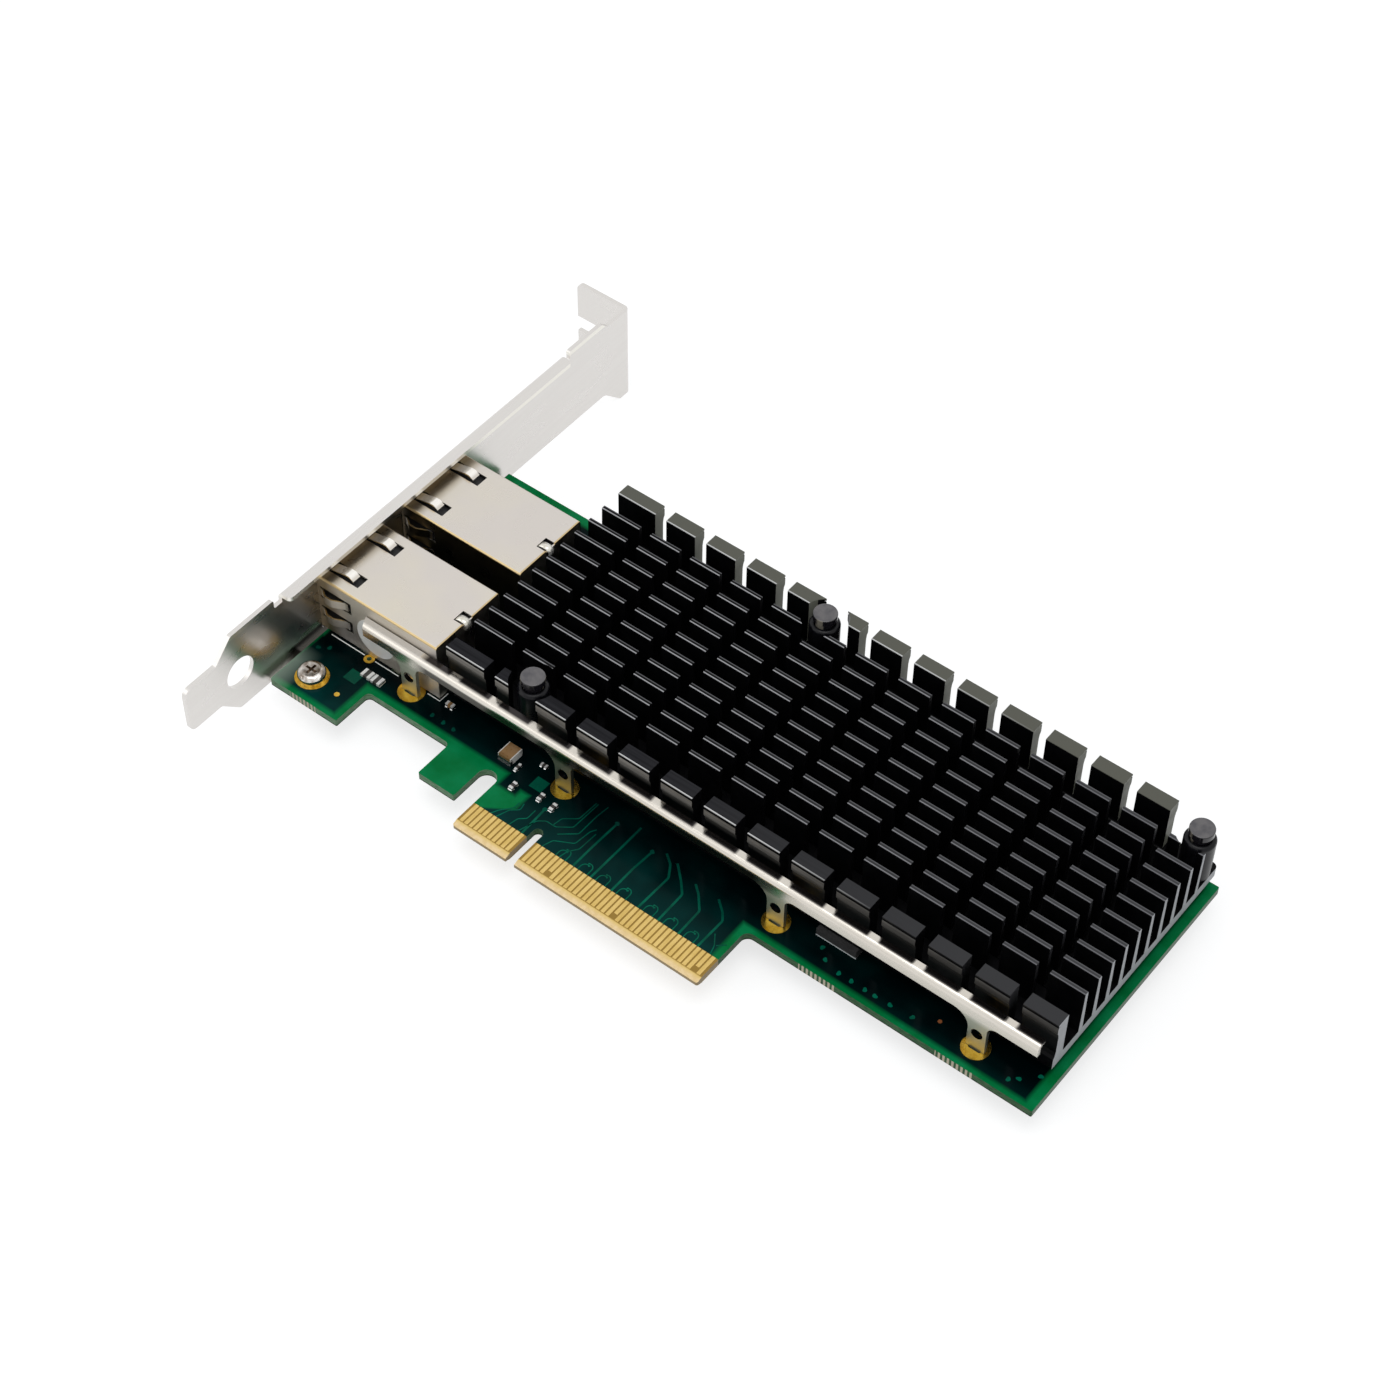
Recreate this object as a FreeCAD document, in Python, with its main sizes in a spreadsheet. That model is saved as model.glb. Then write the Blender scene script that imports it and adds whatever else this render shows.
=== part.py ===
import FreeCAD, Part
import Sketcher
import math
import os
import types

# Dual-port network interface card, low board with a full-height bracket.
# Frame: x runs along the card from the bracket to the far end, y from the edge
# connector up to the top edge, z out of the component side.  x = 0 is the middle
# of the key notch, y = 0 the tips of the edge connector, z = 0 the component face.

doc = FreeCAD.newDocument("network_interface_card")

# ---------------------------------------------------------------- dimensions
DIMENSIONS = [
    ("clearance", "0.3", "gap round pieces that pass through one another"),
    ("plating", "0.05", "gold plating standing on the board"),
    ("board_thick", "1.57", "laminate"),
    ("board_left", "-58.6", "bracket end of the board"),
    ("board_end", "95.7", "far end of the board"),
    ("board_top", "68.9", "top edge"),
    ("foot_base", "4.5", "lower edge under the bracket screw"),
    ("foot_end", "-43.1", "where that lower edge steps up"),
    ("step_level", "12.8", "edge between the foot and the hook"),
    ("hook_left", "-24.35", "hook beside the edge connector"),
    ("hook_base", "4.65", "lower edge of the hook"),
    ("relief_left", "-16.35", "slot between the hook and the connector"),
    ("tongue_left", "-12.6", "connector, bracket side"),
    ("tongue_right", "39.6", "connector, far side"),
    ("shoulder", "13.1", "long lower edge beyond the connector"),
    ("key_width", "1.9", "key notch"),
    ("key_top", "8.25", "key notch, closed end"),
    ("tip_bevel", "1.25", "bevel along the connector tips"),
    ("tip_cut", "0.42", "bevel depth on each face"),
    ("contact_width", "0.7", "edge contact"),
    ("contact_pitch", "1.0", "edge contact spacing"),
    ("contact_low", "1.3", "edge contact, tip end"),
    ("contact_high", "5.6", "edge contact, board end"),
    ("presence_cut", "1.1", "how much shorter the presence contacts are"),
    ("short_count", "11", "contacts before the key"),
    ("long_count", "38", "contacts after the key"),
    ("key_gap", "1.775", "key middle to the nearest contact"),
    ("sheet_gauge", "0.86", "bracket sheet"),
    ("bracket_face", "-59.65", "inner face of the bracket"),
    ("bracket_low", "-2.56", "long edge of the bracket on the solder side"),
    ("bracket_width", "18.42", "bracket plate"),
    ("blade_low", "1.55", "lower tongue of the bracket"),
    ("blade_width", "10.19", "lower tongue of the bracket"),
    ("blade_end", "-13.75", "lower tongue of the bracket, tip"),
    ("taper_low", "-6.2", "taper into the lower tongue"),
    ("bracket_top", "106.3", "outer face of the screw tab"),
    ("tab_reach", "11.43", "screw tab past the plate"),
    ("tab_low", "-6.9", "screw tab, solder side"),
    ("tab_high", "14.2", "screw tab, component side"),
    ("tab_notch", "3.6", "screw notch width"),
    ("tab_notch_deep", "6.35", "screw notch depth"),
    ("flange_deep", "2.9", "stiffening flange"),
    ("flange_low", "10.6", "stiffening flange, lower end"),
    ("flange_high", "86.8", "stiffening flange, upper end"),
    ("vent_hole", "3.2", "radius of the round hole in the bracket"),
    ("lug_x", "-53.2", "bracket screw line"),
    ("lug_low", "9.4", "lower bracket screw"),
    ("lug_high", "63.5", "upper bracket screw"),
    ("screw_shank", "1.25", "screw shank radius"),
    ("screw_head", "2.6", "screw head radius"),
    ("screw_head_high", "1.9", "screw head height"),
    ("jack_front", "-61.0", "front of the jack shields"),
    ("jack_back", "-32.3", "back of the jack shields"),
    ("jack_high", "13.1", "top of the jack shields"),
    ("jack_width", "16.6", "jack shield width"),
    ("jack_side", "19.4", "near side of the near jack"),
    ("jack_pitch", "22.2", "jack spacing"),
    ("jack_sheet", "0.3", "jack shield sheet"),
    ("spring_width", "1.8", "grounding spring finger"),
    ("spring_lift", "0.9", "how far a grounding spring stands out"),
    ("port_width", "11.9", "plug cavity"),
    ("port_high", "6.8", "plug cavity"),
    ("port_floor", "2.2", "plug cavity floor above the board"),
    ("port_deep", "14.2", "plug cavity depth"),
    ("wire_pitch", "1.02", "plug contact spacing"),
    ("wire_width", "0.45", "plug contact"),
    ("rail_front", "17.2", "front face of the stiffener"),
    ("rail_gauge", "0.8", "stiffener sheet"),
    ("rail_deep", "2.0", "stiffener flange"),
    ("rail_high", "10.4", "top of the stiffener"),
    ("rail_wall", "2.6", "stiffener wall height"),
    ("rail_left", "-48.4", "stiffener, bracket end"),
    ("rail_right", "93.0", "stiffener, far end"),
    ("rail_foot", "3.5", "stiffener foot width"),
    ("rail_tail", "2.2", "foot below the component face"),
    ("foot_first", "-37.3", "stiffener feet"),
    ("foot_second", "-2.6", "stiffener feet"),
    ("foot_third", "42.3", "stiffener feet"),
    ("foot_fourth", "82.0", "stiffener feet"),
    ("sink_left", "-30.85", "heat sink, bracket end"),
    ("sink_right", "94.3", "heat sink, far end"),
    ("sink_near", "20.4", "heat sink, connector side"),
    ("sink_far", "69.8", "heat sink, top edge side"),
    ("sink_low", "1.95", "underside of the heat sink"),
    ("sink_base", "2.0", "heat sink base plate"),
    ("sink_high", "13.9", "fin tops"),
    ("edge_fin", "2.7", "outer fins"),
    ("fin_first", "28.2", "first thin fin"),
    ("fin_pitch", "3.85", "thin fin spacing"),
    ("fin_count", "10", "thin fins"),
    ("fin_foot", "1.15", "thin fin at its foot"),
    ("fin_tip", "0.75", "thin fin at its tip"),
    ("cross_first", "-22.4", "first cross cut"),
    ("cross_width", "2.48", "cross cut"),
    ("cross_pitch", "8.96", "cross cut spacing"),
    ("cross_count", "13", "cross cuts"),
    ("pin_room", "4.3", "clearing in the fins round each push pin"),
    ("pin_left_x", "-14.2", "push pin beside the jacks"),
    ("pin_left_y", "23.7", "push pin beside the jacks"),
    ("pin_mid_x", "15.8", "push pin in the middle"),
    ("pin_mid_y", "66.1", "push pin in the middle"),
    ("pin_right_x", "91.5", "push pin at the far end"),
    ("pin_right_y", "66.4", "push pin at the far end"),
    ("pin_head", "2.2", "push pin head radius"),
    ("pin_top", "15.2", "push pin head"),
    ("pin_stem", "1.2", "push pin stem radius"),
    ("sleeve_outer", "2.8", "sleeve round the push pin spring"),
    ("sleeve_inner", "2.35", "sleeve round the push pin spring"),
    ("sleeve_top", "12.9", "sleeve round the push pin spring"),
    ("spring_radius", "1.85", "push pin spring, middle of the wire"),
    ("spring_wire", "0.2", "push pin spring wire radius"),
    ("chip_x", "28.0", "controller"),
    ("chip_y", "46.0", "controller"),
    ("chip_size", "25.0", "controller"),
    ("chip_high", "1.7", "controller"),
]

sheet = doc.addObject("Spreadsheet::Sheet", "dims")
for row, (alias, value, note) in enumerate(DIMENSIONS, 1):
    sheet.set("A%d" % row, alias)
    sheet.set("B%d" % row, value)
    sheet.set("C%d" % row, note)
    sheet.setAlias("B%d" % row, alias)
doc.recompute()


# ------------------------------------------------------------------- helpers
class Size:
    """A length that carries its value and the sheet expression behind it."""

    def __init__(self, value, text):
        self.value = value
        self.text = text

    def __add__(self, other):
        other = size(other)
        return Size(self.value + other.value, "(%s + %s)" % (self.text, other.text))

    def __sub__(self, other):
        other = size(other)
        return Size(self.value - other.value, "(%s - %s)" % (self.text, other.text))

    def __mul__(self, other):
        other = size(other)
        return Size(self.value * other.value, "%s * %s" % (self.text, other.text))

    def __truediv__(self, other):
        other = size(other)
        return Size(self.value / other.value, "%s / %s" % (self.text, other.text))

    def __neg__(self):
        return Size(-self.value, "(0 - %s)" % self.text)

    def __rsub__(self, other):
        return size(other) - self

    __radd__ = __add__
    __rmul__ = __mul__


def size(value):
    if isinstance(value, Size):
        return value
    return Size(float(value), "(%r)" % float(value))


d = types.SimpleNamespace()
for alias, value, note in DIMENSIONS:
    setattr(d, alias, Size(float(value), "dims." + alias))

nodes = []


def vector(x, y, z=0):
    return FreeCAD.Vector(size(x).value, size(y).value, size(z).value)


def drive(item, name, value):
    """Bind a property to the sheet."""
    value = size(value)
    if not name.startswith("."):
        setattr(item, name, value.value)
    item.setExpression(name, value.text)


def node(item, label):
    item.Label = label
    nodes.append(item)
    return item


def new_body(label):
    body = doc.addObject("PartDesign::Body", label)
    body.AllowCompound = True
    return node(body, label)


def origin_item(body, role):
    return [item for item in body.Origin.OriginFeatures if item.Role == role][0]


def hold(sketch, item, position, x, y):
    """Fix a point of a sketch from its origin by two driven distances."""
    for kind, value in (("DistanceX", size(x)), ("DistanceY", size(y))):
        number = sketch.addConstraint(
            Sketcher.Constraint(kind, -1, 1, item, position, value.value))
        sketch.setExpression("Constraints[%d]" % number, value.text)


def hold_radius(sketch, item, radius):
    radius = size(radius)
    number = sketch.addConstraint(Sketcher.Constraint("Radius", item, radius.value))
    sketch.setExpression("Constraints[%d]" % number, radius.text)


def draw_outline(sketch, corners):
    """Closed outline of straight edges; a corner's third value rounds it."""
    places = [vector(corner[0], corner[1]) for corner in corners]
    runs = []
    for here, corner in enumerate(corners):
        place = places[here]
        if len(corner) == 2:
            runs.append((place, place, None))
            continue
        back = (places[here - 1] - place).normalize()
        ahead = (places[(here + 1) % len(places)] - place).normalize()
        half = back.getAngle(ahead) / 2
        radius = size(corner[2]).value
        reach = radius / math.tan(half)
        centre = place + (back + ahead).normalize() * (radius / math.sin(half))
        middle = centre + (place - centre).normalize() * radius
        runs.append((place + back * reach, place + ahead * reach, middle))
    lines = []
    for here in range(len(runs)):
        start = runs[here][1]
        end = runs[(here + 1) % len(runs)][0]
        lines.append(sketch.addGeometry(Part.LineSegment(start, end), False))
    for here, corner in enumerate(corners):
        before = lines[here - 1]
        after = lines[here]
        start, end, middle = runs[here]
        if middle is None:
            sketch.addConstraint(Sketcher.Constraint("Coincident", before, 2, after, 1))
            hold(sketch, after, 1, corner[0], corner[1])
            continue
        arc = sketch.addGeometry(Part.Arc(start, middle, end), False)
        first, last = 1, 2
        if sketch.getPoint(arc, 1).distanceToPoint(start) > 1e-4:
            first, last = 2, 1
        point = sketch.addGeometry(Part.Point(places[here]), True)
        sketch.addConstraint([
            Sketcher.Constraint("Tangent", before, 2, arc, first),
            Sketcher.Constraint("Tangent", arc, last, after, 1),
            Sketcher.Constraint("PointOnObject", point, 1, before),
            Sketcher.Constraint("PointOnObject", point, 1, after)])
        hold_radius(sketch, arc, corner[2])
        hold(sketch, point, 1, corner[0], corner[1])


def draw_circle(sketch, x, y, radius):
    circle = Part.Circle(vector(x, y), FreeCAD.Vector(0, 0, 1), size(radius).value)
    item = sketch.addGeometry(circle, False)
    hold(sketch, item, 3, x, y)
    hold_radius(sketch, item, radius)


def new_sketch(body, name, plane, level, shapes):
    """Sketch parallel to an origin plane; a shape is an outline or (x, y, radius)."""
    sketch = body.newObject("Sketcher::SketchObject", name)
    sketch.AttachmentSupport = [(origin_item(body, plane + "_Plane"), "")]
    sketch.MapMode = "FlatFace"
    level = -size(level) if plane == "XZ" else size(level)
    sketch.AttachmentOffset = FreeCAD.Placement(
        FreeCAD.Vector(0, 0, level.value), FreeCAD.Rotation())
    sketch.setExpression(".AttachmentOffset.Base.z", level.text)
    for shape in shapes:
        if isinstance(shape, tuple):
            draw_circle(sketch, *shape)
        else:
            draw_outline(sketch, shape)
    return sketch


def pad(body, name, plane, low, high, *shapes):
    """Solid between two levels along the plane's axis."""
    sketch = new_sketch(body, name + "_outline", plane, low, shapes)
    feature = body.newObject("PartDesign::Pad", name)
    feature.Profile = sketch
    feature.Reversed = plane == "XZ"
    drive(feature, "Length", size(high) - low)
    return feature


def pocket(body, name, plane, low, high, *shapes):
    """Cut between two levels along the plane's axis."""
    doc.recompute()
    before = body.Shape.Volume
    sketch = new_sketch(body, name + "_outline", plane, low, shapes)
    feature = body.newObject("PartDesign::Pocket", name)
    feature.Profile = sketch
    feature.Reversed = plane != "XZ"
    drive(feature, "Length", size(high) - low)
    doc.recompute()
    if not body.Shape.Volume < before - 1e-6:
        raise RuntimeError("%s cuts nothing" % name)
    return feature


def row_of(body, name, originals, axis, pitch, count):
    """Repeat features in a straight row."""
    doc.recompute()
    feature = body.newObject("PartDesign::LinearPattern", name)
    feature.Originals = originals
    feature.Direction = (origin_item(body, axis + "_Axis"), [""])
    drive(feature, "Length", size(pitch) * (size(count) - 1))
    feature.Occurrences = int(round(size(count).value))
    feature.setExpression("Occurrences", size(count).text)
    body.Tip = feature
    return feature


def rectangle(x_low, x_high, y_low, y_high, radius=None):
    corners = [(x_low, y_low), (x_high, y_low), (x_high, y_high), (x_low, y_high)]
    if radius is None:
        return corners
    return [corner + (radius,) for corner in corners]


def round_edges(body, name, radius, tests):
    """Fillet the straight edges that pass through the given points."""
    doc.recompute()
    base = body.Tip
    picked = []
    for test in tests:
        place = Part.Vertex(vector(*test))
        for number, edge in enumerate(base.Shape.Edges, 1):
            if edge.distToShape(place)[0] < 1e-4:
                picked.append("Edge%d" % number)
    feature = body.newObject("PartDesign::Fillet", name)
    feature.Base = (base, picked)
    drive(feature, "Radius", radius)
    return feature


def block(name, x_low, x_high, y_low, y_high, z_low, z_high):
    """Plain block bound to the sheet."""
    item = doc.addObject("Part::Box", name)
    drive(item, "Length", size(x_high) - x_low)
    drive(item, "Width", size(y_high) - y_low)
    drive(item, "Height", size(z_high) - z_low)
    item.Placement.Base = vector(x_low, y_low, z_low)
    drive(item, ".Placement.Base.x", x_low)
    drive(item, ".Placement.Base.y", y_low)
    drive(item, ".Placement.Base.z", z_low)
    return item


def group(label, items):
    """Like pieces kept as separate solids of one node."""
    item = doc.addObject("Part::Compound", label)
    item.Links = items
    return node(item, label)


# -------------------------------------------------------------- shared places
board_back = -d.board_thick
rail_middle = d.rail_front + d.rail_gauge / 2
feet = [d.foot_first, d.foot_second, d.foot_third, d.foot_fourth]
pins = [(d.pin_left_x, d.pin_left_y), (d.pin_mid_x, d.pin_mid_y),
        (d.pin_right_x, d.pin_right_y)]
lugs = [d.lug_low, d.lug_high]
jacks = [("near", d.jack_side), ("far", d.jack_side + d.jack_pitch)]
leg_places = [d.jack_back - 18.0, d.jack_back - 10.8]
leg_width = size(1.5)
pin_rows = [(d.jack_back - 8.0, -5.5), (d.jack_back - 5.46, -4.4)]
jack_pin_pitch = size(2.2)
jack_pin_half = size(0.25)
bracket_outer = d.bracket_face - d.sheet_gauge
bracket_high = d.bracket_low + d.bracket_width
sink_floor = d.sink_low + d.sink_base

# -------------------------------------------------------------- circuit board
# Laminate with the foot behind the bracket screw, the hook and the edge connector.
board = new_body("circuit_board")
pad(board, "laminate", "XY", board_back, 0, [
    (d.board_left, d.foot_base, 0.25),
    (d.foot_end, d.foot_base, 0.25),
    (d.foot_end, d.step_level, 1.0),
    (d.hook_left, d.step_level, 1.0),
    (d.hook_left, d.hook_base, 0.25),
    (d.relief_left, d.hook_base, 0.25),
    (d.relief_left, d.step_level + 1.4),
    (d.tongue_left, d.step_level + 1.4),
    (d.tongue_left, 0, 0.4),
    (d.tongue_right, 0, 0.4),
    (d.tongue_right, d.shoulder, 1.5),
    (d.board_end, d.shoulder, 0.25),
    (d.board_end, d.board_top, 0.25),
    (d.board_left, d.board_top, 0.25)])
relief_middle = (d.relief_left + d.tongue_left) / 2
relief_radius = (d.tongue_left - d.relief_left) / 2
pad(board, "relief_fill", "XY", board_back, 0, rectangle(
    d.relief_left, d.tongue_left, d.step_level - relief_radius, d.step_level + 1.5))
pocket(board, "relief_round", "XY", board_back, 0,
       (relief_middle, d.step_level - relief_radius, relief_radius))
key_half = d.key_width / 2
pocket(board, "key_notch", "XY", board_back, 0,
       rectangle(-key_half, key_half, -1, d.key_top - key_half))
pocket(board, "key_round", "XY", board_back, 0, (0, d.key_top - key_half, key_half))
pocket(board, "tip_bevels", "YZ", d.tongue_left - 1, d.tongue_right + 1,
       [(-0.5, -d.tip_cut - 0.17), (d.tip_bevel, 0), (-0.5, 0.3)],
       [(-0.5, board_back + d.tip_cut + 0.17), (d.tip_bevel, board_back),
        (-0.5, board_back - 0.3)])
slot_gap = d.clearance / 6
pocket(board, "stiffener_slots", "XY", board_back, 0, *[
    rectangle(foot - d.rail_foot / 2 - slot_gap, foot + d.rail_foot / 2 + slot_gap,
              d.rail_front - slot_gap, d.rail_front + d.rail_gauge + slot_gap)
    for foot in feet])
pocket(board, "slot_openings", "XY", board_back, 0, *[
    rectangle(foot - d.rail_foot / 3, foot + d.rail_foot / 3, d.rail_front - d.clearance,
              d.rail_front + d.rail_gauge + d.clearance, 0.25) for foot in feet])
pocket(board, "screw_holes", "XY", board_back, 0, *[
    (d.lug_x, lug, d.screw_shank + 0.2) for lug in lugs])
pocket(board, "push_pin_holes", "XY", board_back, 0, *[
    (x, y, d.pin_stem + d.clearance) for x, y in pins])
pocket(board, "via_hole", "XY", board_back, 0, (-48.1, 18.6, 0.45))
for name, side in jacks:
    leg_holes = []
    for leg in leg_places:
        for edge in (side, side + d.jack_width - d.jack_sheet):
            leg_holes.append(rectangle(leg - 0.25, leg + leg_width + 0.25,
                                       edge - 0.25, edge + d.jack_sheet + 0.25))
    pocket(board, name + "_leg_slots", "XY", board_back, 0, *leg_holes)
    rows = []
    room = jack_pin_half + 0.15
    for number, (x, start) in enumerate(pin_rows):
        y = side + d.jack_width / 2 + start
        rows.append(pocket(board, "%s_pin_holes_%d" % (name, number), "XY",
                           board_back, 0, rectangle(x - room, x + room, y - room,
                                                    y + room)))
    row_of(board, name + "_pin_hole_rows", rows, "Y", jack_pin_pitch, 6)

# -------------------------------------------------------------- edge contacts
# Gold pads on both faces of the edge connector, three of them short.
for label, low in (("edge_contacts_front", size(0)),
                   ("edge_contacts_back", board_back - d.plating)):
    contacts = new_body(label)
    half = d.contact_width / 2
    first = -d.key_gap - d.contact_pitch * (d.short_count - 1)
    short_pad = pad(contacts, label + "_short", "XY", low, low + d.plating, rectangle(
        first - half, first + half, d.contact_low, d.contact_high))
    row_of(contacts, label + "_short_row", [short_pad], "X", d.contact_pitch,
           d.short_count)
    long_pad = pad(contacts, label + "_long", "XY", low, low + d.plating, rectangle(
        d.key_gap - half, d.key_gap + half, d.contact_low, d.contact_high))
    row_of(contacts, label + "_long_row", [long_pad], "X", d.contact_pitch,
           d.long_count)
    pocket(contacts, label + "_presence", "XY", low, low + d.plating, *[
        rectangle(d.key_gap + d.contact_pitch * place - half - 0.1,
                  d.key_gap + d.contact_pitch * place + half + 0.1,
                  d.contact_low - 0.2, d.contact_low + d.presence_cut)
        for place in (5, 19, 36)])

# ------------------------------------------------------------------ ring pads
# Bare gold round the screw holes, the stiffener slots and the test points.
rings = new_body("ring_pads")
pad(rings, "screw_rings", "XY", 0, d.plating, *[
    (d.lug_x, lug, d.screw_head + 0.5) for lug in lugs])
pad(rings, "foot_rings", "XY", 0, d.plating, *[
    (foot, rail_middle, d.rail_foot / 2 + 0.75) for foot in feet])
pad(rings, "via_ring", "XY", 0, d.plating, (-48.1, 18.6, 1.0))
pad(rings, "test_point", "XY", 0, d.plating, (-47.0, 9.0, 0.5))
pocket(rings, "screw_ring_holes", "XY", 0, d.plating, *[
    (d.lug_x, lug, d.screw_shank + 0.3) for lug in lugs])
pocket(rings, "foot_ring_slots", "XY", 0, d.plating, *[
    rectangle(foot - d.rail_foot / 2 - slot_gap, foot + d.rail_foot / 2 + slot_gap,
              d.rail_front - slot_gap, d.rail_front + d.rail_gauge + slot_gap)
    for foot in feet])
pocket(rings, "foot_ring_openings", "XY", 0, d.plating, *[
    rectangle(foot - d.rail_foot / 3, foot + d.rail_foot / 3, d.rail_front - d.clearance,
              d.rail_front + d.rail_gauge + d.clearance, 0.25) for foot in feet])
pocket(rings, "via_ring_hole", "XY", 0, d.plating, (-48.1, 18.6, 0.45))

# -------------------------------------------------------------------- bracket
# One piece of bent sheet: plate, lower tongue, screw tab, flange and two lugs.
bracket = new_body("bracket")
blade_high = d.blade_low + d.blade_width
relief_level = bracket_high - 1.96
tab_bend = d.bracket_top - 2.0
pad(bracket, "plate", "YZ", bracket_outer, d.bracket_face, [
    (d.blade_end, d.blade_low, 1.5),
    (d.taper_low, d.blade_low, 1.0),
    (d.taper_low + (d.blade_low - d.bracket_low), d.bracket_low, 1.0),
    (d.bracket_top - 7.9, d.bracket_low, 2.0),
    (d.bracket_top - 3.3, d.tab_low, 0.8),
    (tab_bend, d.tab_low),
    (tab_bend, d.tab_high),
    (d.bracket_top - 6.6, d.tab_high, 1.2),
    (d.bracket_top - 8.4, bracket_high, 1.2),
    (d.flange_high + 1.6, bracket_high, 0.4),
    (d.flange_high + 1.6, relief_level, 0.4),
    (d.flange_low - 2.0, relief_level, 0.4),
    (d.flange_low - 2.0, bracket_high, 0.4),
    (d.taper_low + (bracket_high - blade_high), bracket_high, 1.0),
    (d.taper_low, blade_high, 1.0),
    (d.blade_end, blade_high, 1.5)])
bend_in = size(0.35)
bend_out = d.sheet_gauge + bend_in
pad(bracket, "screw_tab", "XY", d.tab_low, d.tab_high, [
    (d.bracket_face, tab_bend),
    (d.bracket_face, d.bracket_top, bend_out),
    (bracket_outer - d.tab_reach, d.bracket_top),
    (bracket_outer - d.tab_reach, d.bracket_top - d.sheet_gauge),
    (bracket_outer, d.bracket_top - d.sheet_gauge, bend_in),
    (bracket_outer, tab_bend)])
pad(bracket, "flange", "XZ", d.flange_low, d.flange_high, [
    (bracket_outer, relief_level),
    (bracket_outer, bracket_high, bend_out),
    (bracket_outer + d.flange_deep, bracket_high),
    (bracket_outer + d.flange_deep, bracket_high - d.sheet_gauge),
    (d.bracket_face, bracket_high - d.sheet_gauge, bend_in),
    (d.bracket_face, relief_level)])
pad(bracket, "lugs", "XY", board_back - d.sheet_gauge, board_back, *[
    [(bracket_outer + 0.1, lug - 4), (d.lug_x + 3.3, lug - 4, 1.6),
     (d.lug_x + 3.3, lug + 4, 1.6), (bracket_outer + 0.1, lug + 4)] for lug in lugs])
pocket(bracket, "port_openings", "YZ", bracket_outer - 0.1, d.bracket_face + 0.1, *[
    rectangle(side - d.clearance, side + d.jack_width + d.clearance,
              -d.clearance, d.jack_high + d.clearance, 0.5) for name, side in jacks])
pocket(bracket, "round_hole", "YZ", bracket_outer - 0.1, d.bracket_face + 0.1,
       (-1.0, 5.9, d.vent_hole))
pocket(bracket, "lug_holes", "XY", board_back - d.sheet_gauge, board_back, *[
    (d.lug_x, lug, d.screw_shank + 0.05) for lug in lugs])
notch_middle = (d.tab_low + d.tab_high) / 2 + 0.45
notch_end = bracket_outer - d.tab_reach + d.tab_notch_deep
tab_span = (d.bracket_top - d.sheet_gauge, d.bracket_top)
pocket(bracket, "screw_notch", "XZ", tab_span[0], tab_span[1], rectangle(
    bracket_outer - d.tab_reach - 1, notch_end - d.tab_notch / 2,
    notch_middle - d.tab_notch / 2, notch_middle + d.tab_notch / 2))
pocket(bracket, "screw_notch_end", "XZ", tab_span[0], tab_span[1],
       (notch_end - d.tab_notch / 2, notch_middle, d.tab_notch / 2))
tab_middle = d.bracket_top - d.sheet_gauge / 2
round_edges(bracket, "tab_corners", 1.3, [
    (bracket_outer - d.tab_reach, tab_middle, d.tab_low),
    (bracket_outer - d.tab_reach, tab_middle, d.tab_high)])
flange_middle = bracket_high - d.sheet_gauge / 2
round_edges(bracket, "flange_corners", 1.0, [
    (bracket_outer + d.flange_deep, d.flange_low, flange_middle),
    (bracket_outer + d.flange_deep, d.flange_high, flange_middle)])

# ------------------------------------------------------------- bracket screws
# Pan-head screws with a cross recess, turned round their own axis.
screws = new_body("bracket_screws")
head_low = d.plating
head_top = head_low + d.screw_head_high
shank_end = board_back - d.sheet_gauge - 1.1
profile = new_sketch(screws, "screw_profile", "XZ", d.lug_low, [[
    (d.lug_x, shank_end),
    (d.lug_x + d.screw_shank - 0.3, shank_end),
    (d.lug_x + d.screw_shank, shank_end + 0.4),
    (d.lug_x + d.screw_shank, head_low),
    (d.lug_x + d.screw_head, head_low),
    (d.lug_x + d.screw_head, head_top, 1.0),
    (d.lug_x, head_top)]])
axis = profile.addGeometry(
    Part.LineSegment(vector(d.lug_x, shank_end), vector(d.lug_x, head_top)), True)
hold(profile, axis, 1, d.lug_x, shank_end)
hold(profile, axis, 2, d.lug_x, head_top)
turned = screws.newObject("PartDesign::Revolution", "turned_screw")
turned.Profile = profile
turned.ReferenceAxis = (profile, ["Axis0"])
turned.Angle = 360
screws.Tip = turned
recess = pocket(screws, "cross_recess", "XY", head_top - 0.9, head_top + 0.1, [
    (d.lug_x - 1.15, d.lug_low - 0.25), (d.lug_x - 0.25, d.lug_low - 0.25),
    (d.lug_x - 0.25, d.lug_low - 1.15), (d.lug_x + 0.25, d.lug_low - 1.15),
    (d.lug_x + 0.25, d.lug_low - 0.25), (d.lug_x + 1.15, d.lug_low - 0.25),
    (d.lug_x + 1.15, d.lug_low + 0.25), (d.lug_x + 0.25, d.lug_low + 0.25),
    (d.lug_x + 0.25, d.lug_low + 1.15), (d.lug_x - 0.25, d.lug_low + 1.15),
    (d.lug_x - 0.25, d.lug_low + 0.25), (d.lug_x - 1.15, d.lug_low + 0.25)])
row_of(screws, "screw_pair", [turned, recess], "Y", d.lug_high - d.lug_low, 2)

# ---------------------------------------------------------------------- jacks
# Two shielded modular jacks: folded shield, insulator, plug contacts, pins, lights.
housing_back = d.jack_back - d.jack_sheet - 0.4
housing_low = size(0.15)
housing_top = d.jack_high - d.jack_sheet - 0.6
face = d.jack_front + d.jack_sheet


def strip(path, sheet):
    """Outline of a bent strip from the places along its outer face."""
    back = [(corner[0], corner[1] - sheet) + corner[2:] for corner in reversed(path)]
    return path + back


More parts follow.
